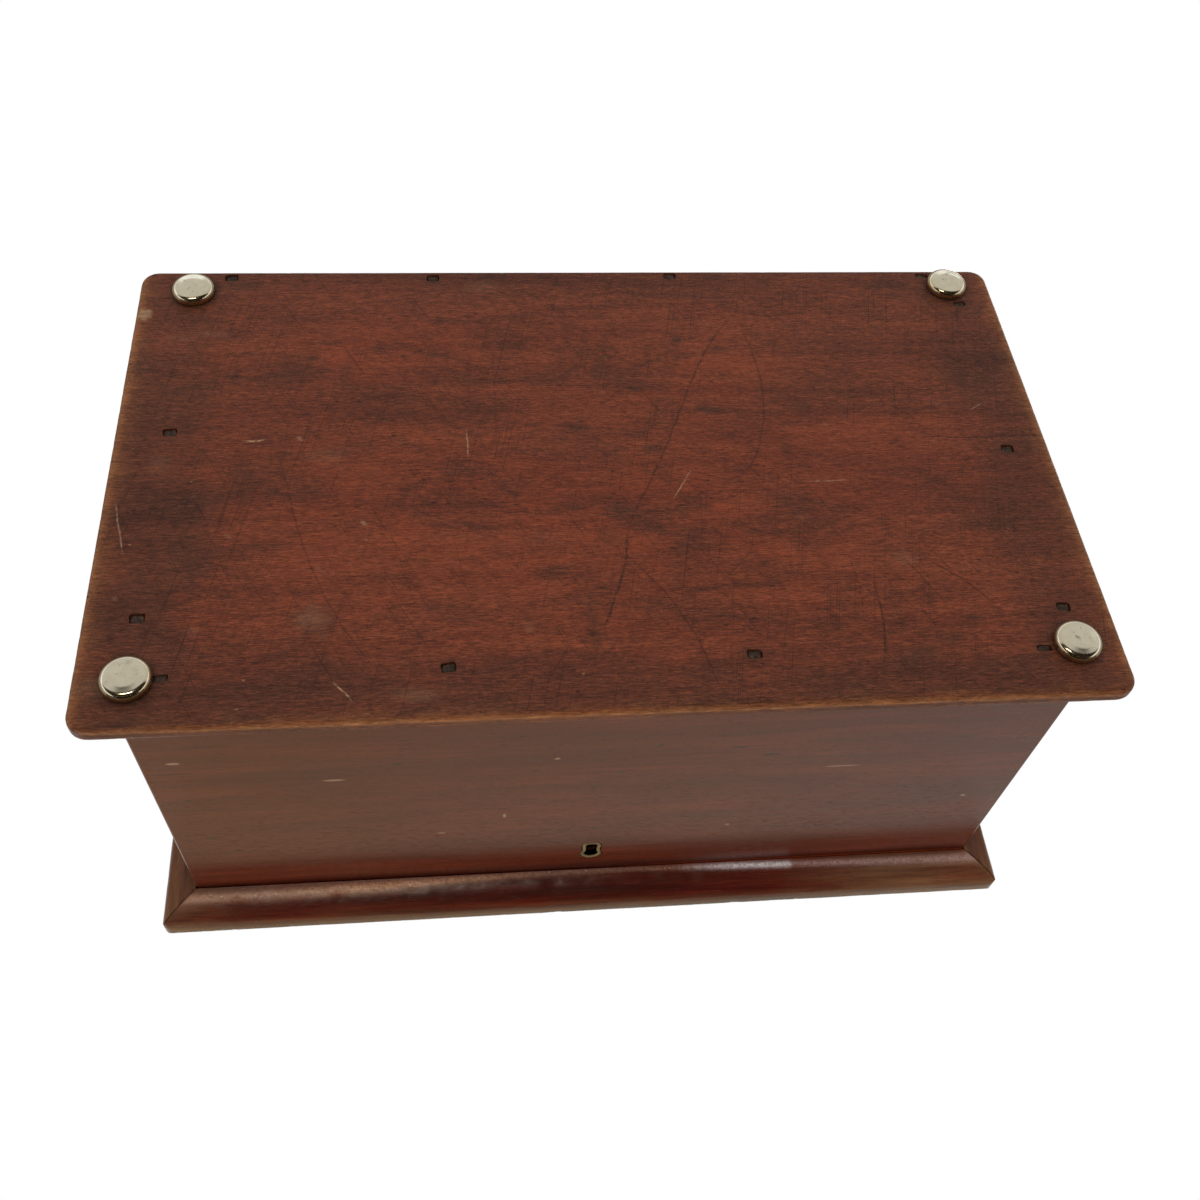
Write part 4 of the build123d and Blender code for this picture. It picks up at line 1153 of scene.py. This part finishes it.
# The bare inner wood begins a little less than each wall's thickness in from its outer face
SIDE_SKIN, FRONT_SKIN, BACK_SKIN, LID_SKIN = 11.9, 12.6, 10.9, 8
case_inside = (
    (case_low[0] + SIDE_SKIN, front_y + FRONT_SKIN, base_high[2] - 0.1),
    (case_high[0] - SIDE_SKIN, back_y - BACK_SKIN, case_high[2] + 30),
)
lid_inside = (
    (-lid_x + LID_SKIN, lid_front_y + LID_SKIN, panel_low[2] - 1),
    (lid_x - LID_SKIN, back_y - LID_SKIN, panel_low[2] + 0.6),
)
top_edge = ("Z", case_high[2], 0.8, 0.2)
edges = [("X", case_high[0], 1.2, 0.3), ("X", case_low[0], 1.2, 0.3), top_edge]
front_wood = wood(
    "polished_front_mahogany", "X", FRONT, 51, 0.2, 0.5, case_inside, edges,
    FRONT_SPOTS, FRONT_PALE, lip_z,
)
side_wood = wood(
    "polished_side_mahogany", "Y", SIDE, 57, 0.24, 0.45, case_inside, [top_edge], seam=lip_z,
)
finishes = {
    "front_board": front_wood,
    "side_board_left": side_wood,
    "side_board_right": side_wood,
    "back_board": wood("plain_back_mahogany", "X", SIDE, 61, 0.5, 0.35, case_inside, edges),
    "lid_panel": wood("polished_lid_mahogany", "X", RED, 67, 0.34, 0.35, lid_inside),
    "moulding_pins": stopping_material(),
}
steel_nodes = (
    "lock_drill_pin", "lock_ward", "lock_screws", "lock_guide_studs", "lock_bolt", "bolt_spring",
    "hinge_left_pin", "hinge_right_pin", "hinge_case_screws", "hinge_lid_screws",
    "link_plate_screws",
)
finishes.update(dict.fromkeys(steel_nodes, steel_material()))
bright_brass = brass_material("worn_brass", (150, 122, 70), (196, 166, 104), 0.16)
for name, node in nodes.items():
    if not node.hide_render:
        node.data.materials.clear()
        node.data.materials.append(finishes.get(name, bright_brass))


# Camera, from the photograph's own perspective

camera_data = bpy.data.cameras.new("camera")
camera = put("camera", camera_data)
camera_data.sensor_width = 36.0
camera_data.lens = 38.267
camera_data.clip_start = 0.01
camera_data.clip_end = 50.0
right = Vector((-0.994029, -0.08401, -0.069635))
upward = Vector((-0.028906, 0.818095, -0.574356))
forward = Vector((-0.10522, 0.568914, 0.815638))
turn = Matrix((right, upward, -forward)).transposed()
camera.matrix_world = Matrix.Translation((0.057432, -0.354247, -0.400089)) @ turn.to_4x4()
scene.camera = camera


# Light: a white background, a soft even sky for diffuse light and broad lamps

scene.world = bpy.data.worlds.new("studio")
sky = Nodes(scene.world, "ShaderNodeOutputWorld")
soft = sky.add("ShaderNodeBackground", {"Color": (1.0, 0.98, 0.95, 1.0), "Strength": 0.82})
white = sky.add("ShaderNodeBackground", {"Color": (1.0, 1.0, 1.0, 1.0), "Strength": 1.0})
rays = sky.add("ShaderNodeLightPath").node.outputs
plain = sky.fold("MAXIMUM", [rays[f"Is {kind} Ray"] for kind in ("Camera", "Glossy", "Transmission")])
sky.close(sky.add("ShaderNodeMixShader", {0: plain, 1: soft, 2: white}))


def lamp(name, place, size, power, tint, level=False):
    """A rectangular lamp that faces the object, or one that lies level, facing up or down."""
    data = bpy.data.lights.new(name, "AREA")
    data.shape = "RECTANGLE"
    data.size, data.size_y = size
    data.energy = power
    data.color = tint
    obj = put(name, data)
    if level:
        facing = Matrix.Rotation(math.pi if place[2] < 0 else 0.0, 4, "X")
    else:
        toward = Vector((0.0, 0.0, 0.1)) - Vector(place)
        facing = toward.to_track_quat("-Z", "Y").to_matrix().to_4x4()
    obj.matrix_world = Matrix.Translation(place) @ facing
    obj.visible_camera = False


lamp("lamp_below", (0.36, -0.3, -1.6), (0.6, 0.22), 3.4, (1.0, 0.85, 0.68), level=True)
lamp("lamp_above", (0.1, 0.5, 2.5), (1.6, 1.2), 16.0, (1.0, 0.98, 0.95), level=True)
lamp("lamp_front", (1.8, -2.0, 1.1), (1.2, 1.2), 14.0, (1.0, 0.98, 0.95))
lamp("lamp_back", (-1.6, 1.9, 1.1), (1.2, 1.2), 12.0, (1.0, 0.98, 0.96))


def plane(name, centre, across, up, material):
    """A flat card or floor between two half spans."""
    c, a, u = Vector(centre), Vector(across), Vector(up)
    mesh = bpy.data.meshes.new(name)
    mesh.from_pydata([c - a - u, c + a - u, c + a + u, c - a + u], [], [(0, 1, 2, 3)])
    mesh.materials.append(material)
    obj = put(name, mesh)
    return obj


def card(name, centre, across, up, left, right=None):
    """A card that only reflections see, of one glow or of one that goes from left at -X to
    right at +X."""
    m = Nodes(bpy.data.materials.new(name))
    colour = (*left, 1.0)
    if right:
        level = m.span(m.split(m.add("ShaderNodeTexCoord", out="Object"))[0], -0.9, 0.5)
        inputs = {0: level, 6: colour, 7: (*right, 1.0)}
        colour = m.add("ShaderNodeMix", inputs, 2, data_type="RGBA")
    material = m.close(m.add("ShaderNodeEmission", {"Color": colour}))
    obj = plane(name, centre, across, up, material)
    obj.visible_camera = obj.visible_diffuse = obj.visible_shadow = False
    obj.visible_transmission = obj.visible_volume_scatter = False


DARK_CARD = (0.02, 0.013, 0.008)
card("card_low_back", (-0.2, 1.6, -1.65), (2.0, 0, 0), (0, 1.2, 0), (0.52, 0.495, 0.44))
card("card_under", (0.0, -0.62, -1.7), (2.4, 0, 0), (0, 1.4, 0), DARK_CARD)
card("card_front_low", (0.0, -2.2, -1.0), (2.4, 0, 0), (0, -0.1, 0.75), DARK_CARD)
card(
    "card_high_front", (-0.3, -1.53, 2.0), (1.6, 0, 0), (0, 1.14, 0),
    (0.54, 0.55, 0.48), (0.56, 0.45, 0.29),
)
for step in range(8):
    a = math.radians(45 * step)
    round_x, round_y = math.sin(a), math.cos(a)
    card(
        f"card_round_{step}", (2.7 * round_x, 2.7 * round_y, 0.35),
        (1.12 * round_y, -1.12 * round_x, 0), (0, 0, 1.35),
        (0.09, 0.07, 0.05) if step in (3, 4, 5) else (0.3, 0.28, 0.25),
    )


def floor_material():
    """White, with the soft shadow that the object leaves; clear from below."""
    m = Nodes(bpy.data.materials.new("floor"))
    shadow = m.add("ShaderNodeAmbientOcclusion", {"Distance": 0.16}, "AO", samples=8)
    glow = m.add("ShaderNodeEmission", {"Color": m.span(shadow, 0.25, 1.0, 0.42, 1.0)})
    clear = m.add("ShaderNodeBsdfTransparent")
    below = m.add("ShaderNodeNewGeometry", out="Backfacing")
    return m.close(m.add("ShaderNodeMixShader", {0: below, 1: glow, 2: clear}))


floor = plane("floor", (0, 0, 0), (6, 0, 0), (0, 6, 0), floor_material())
floor.visible_diffuse = floor.visible_glossy = floor.visible_transmission = False
floor.visible_shadow = floor.visible_volume_scatter = False
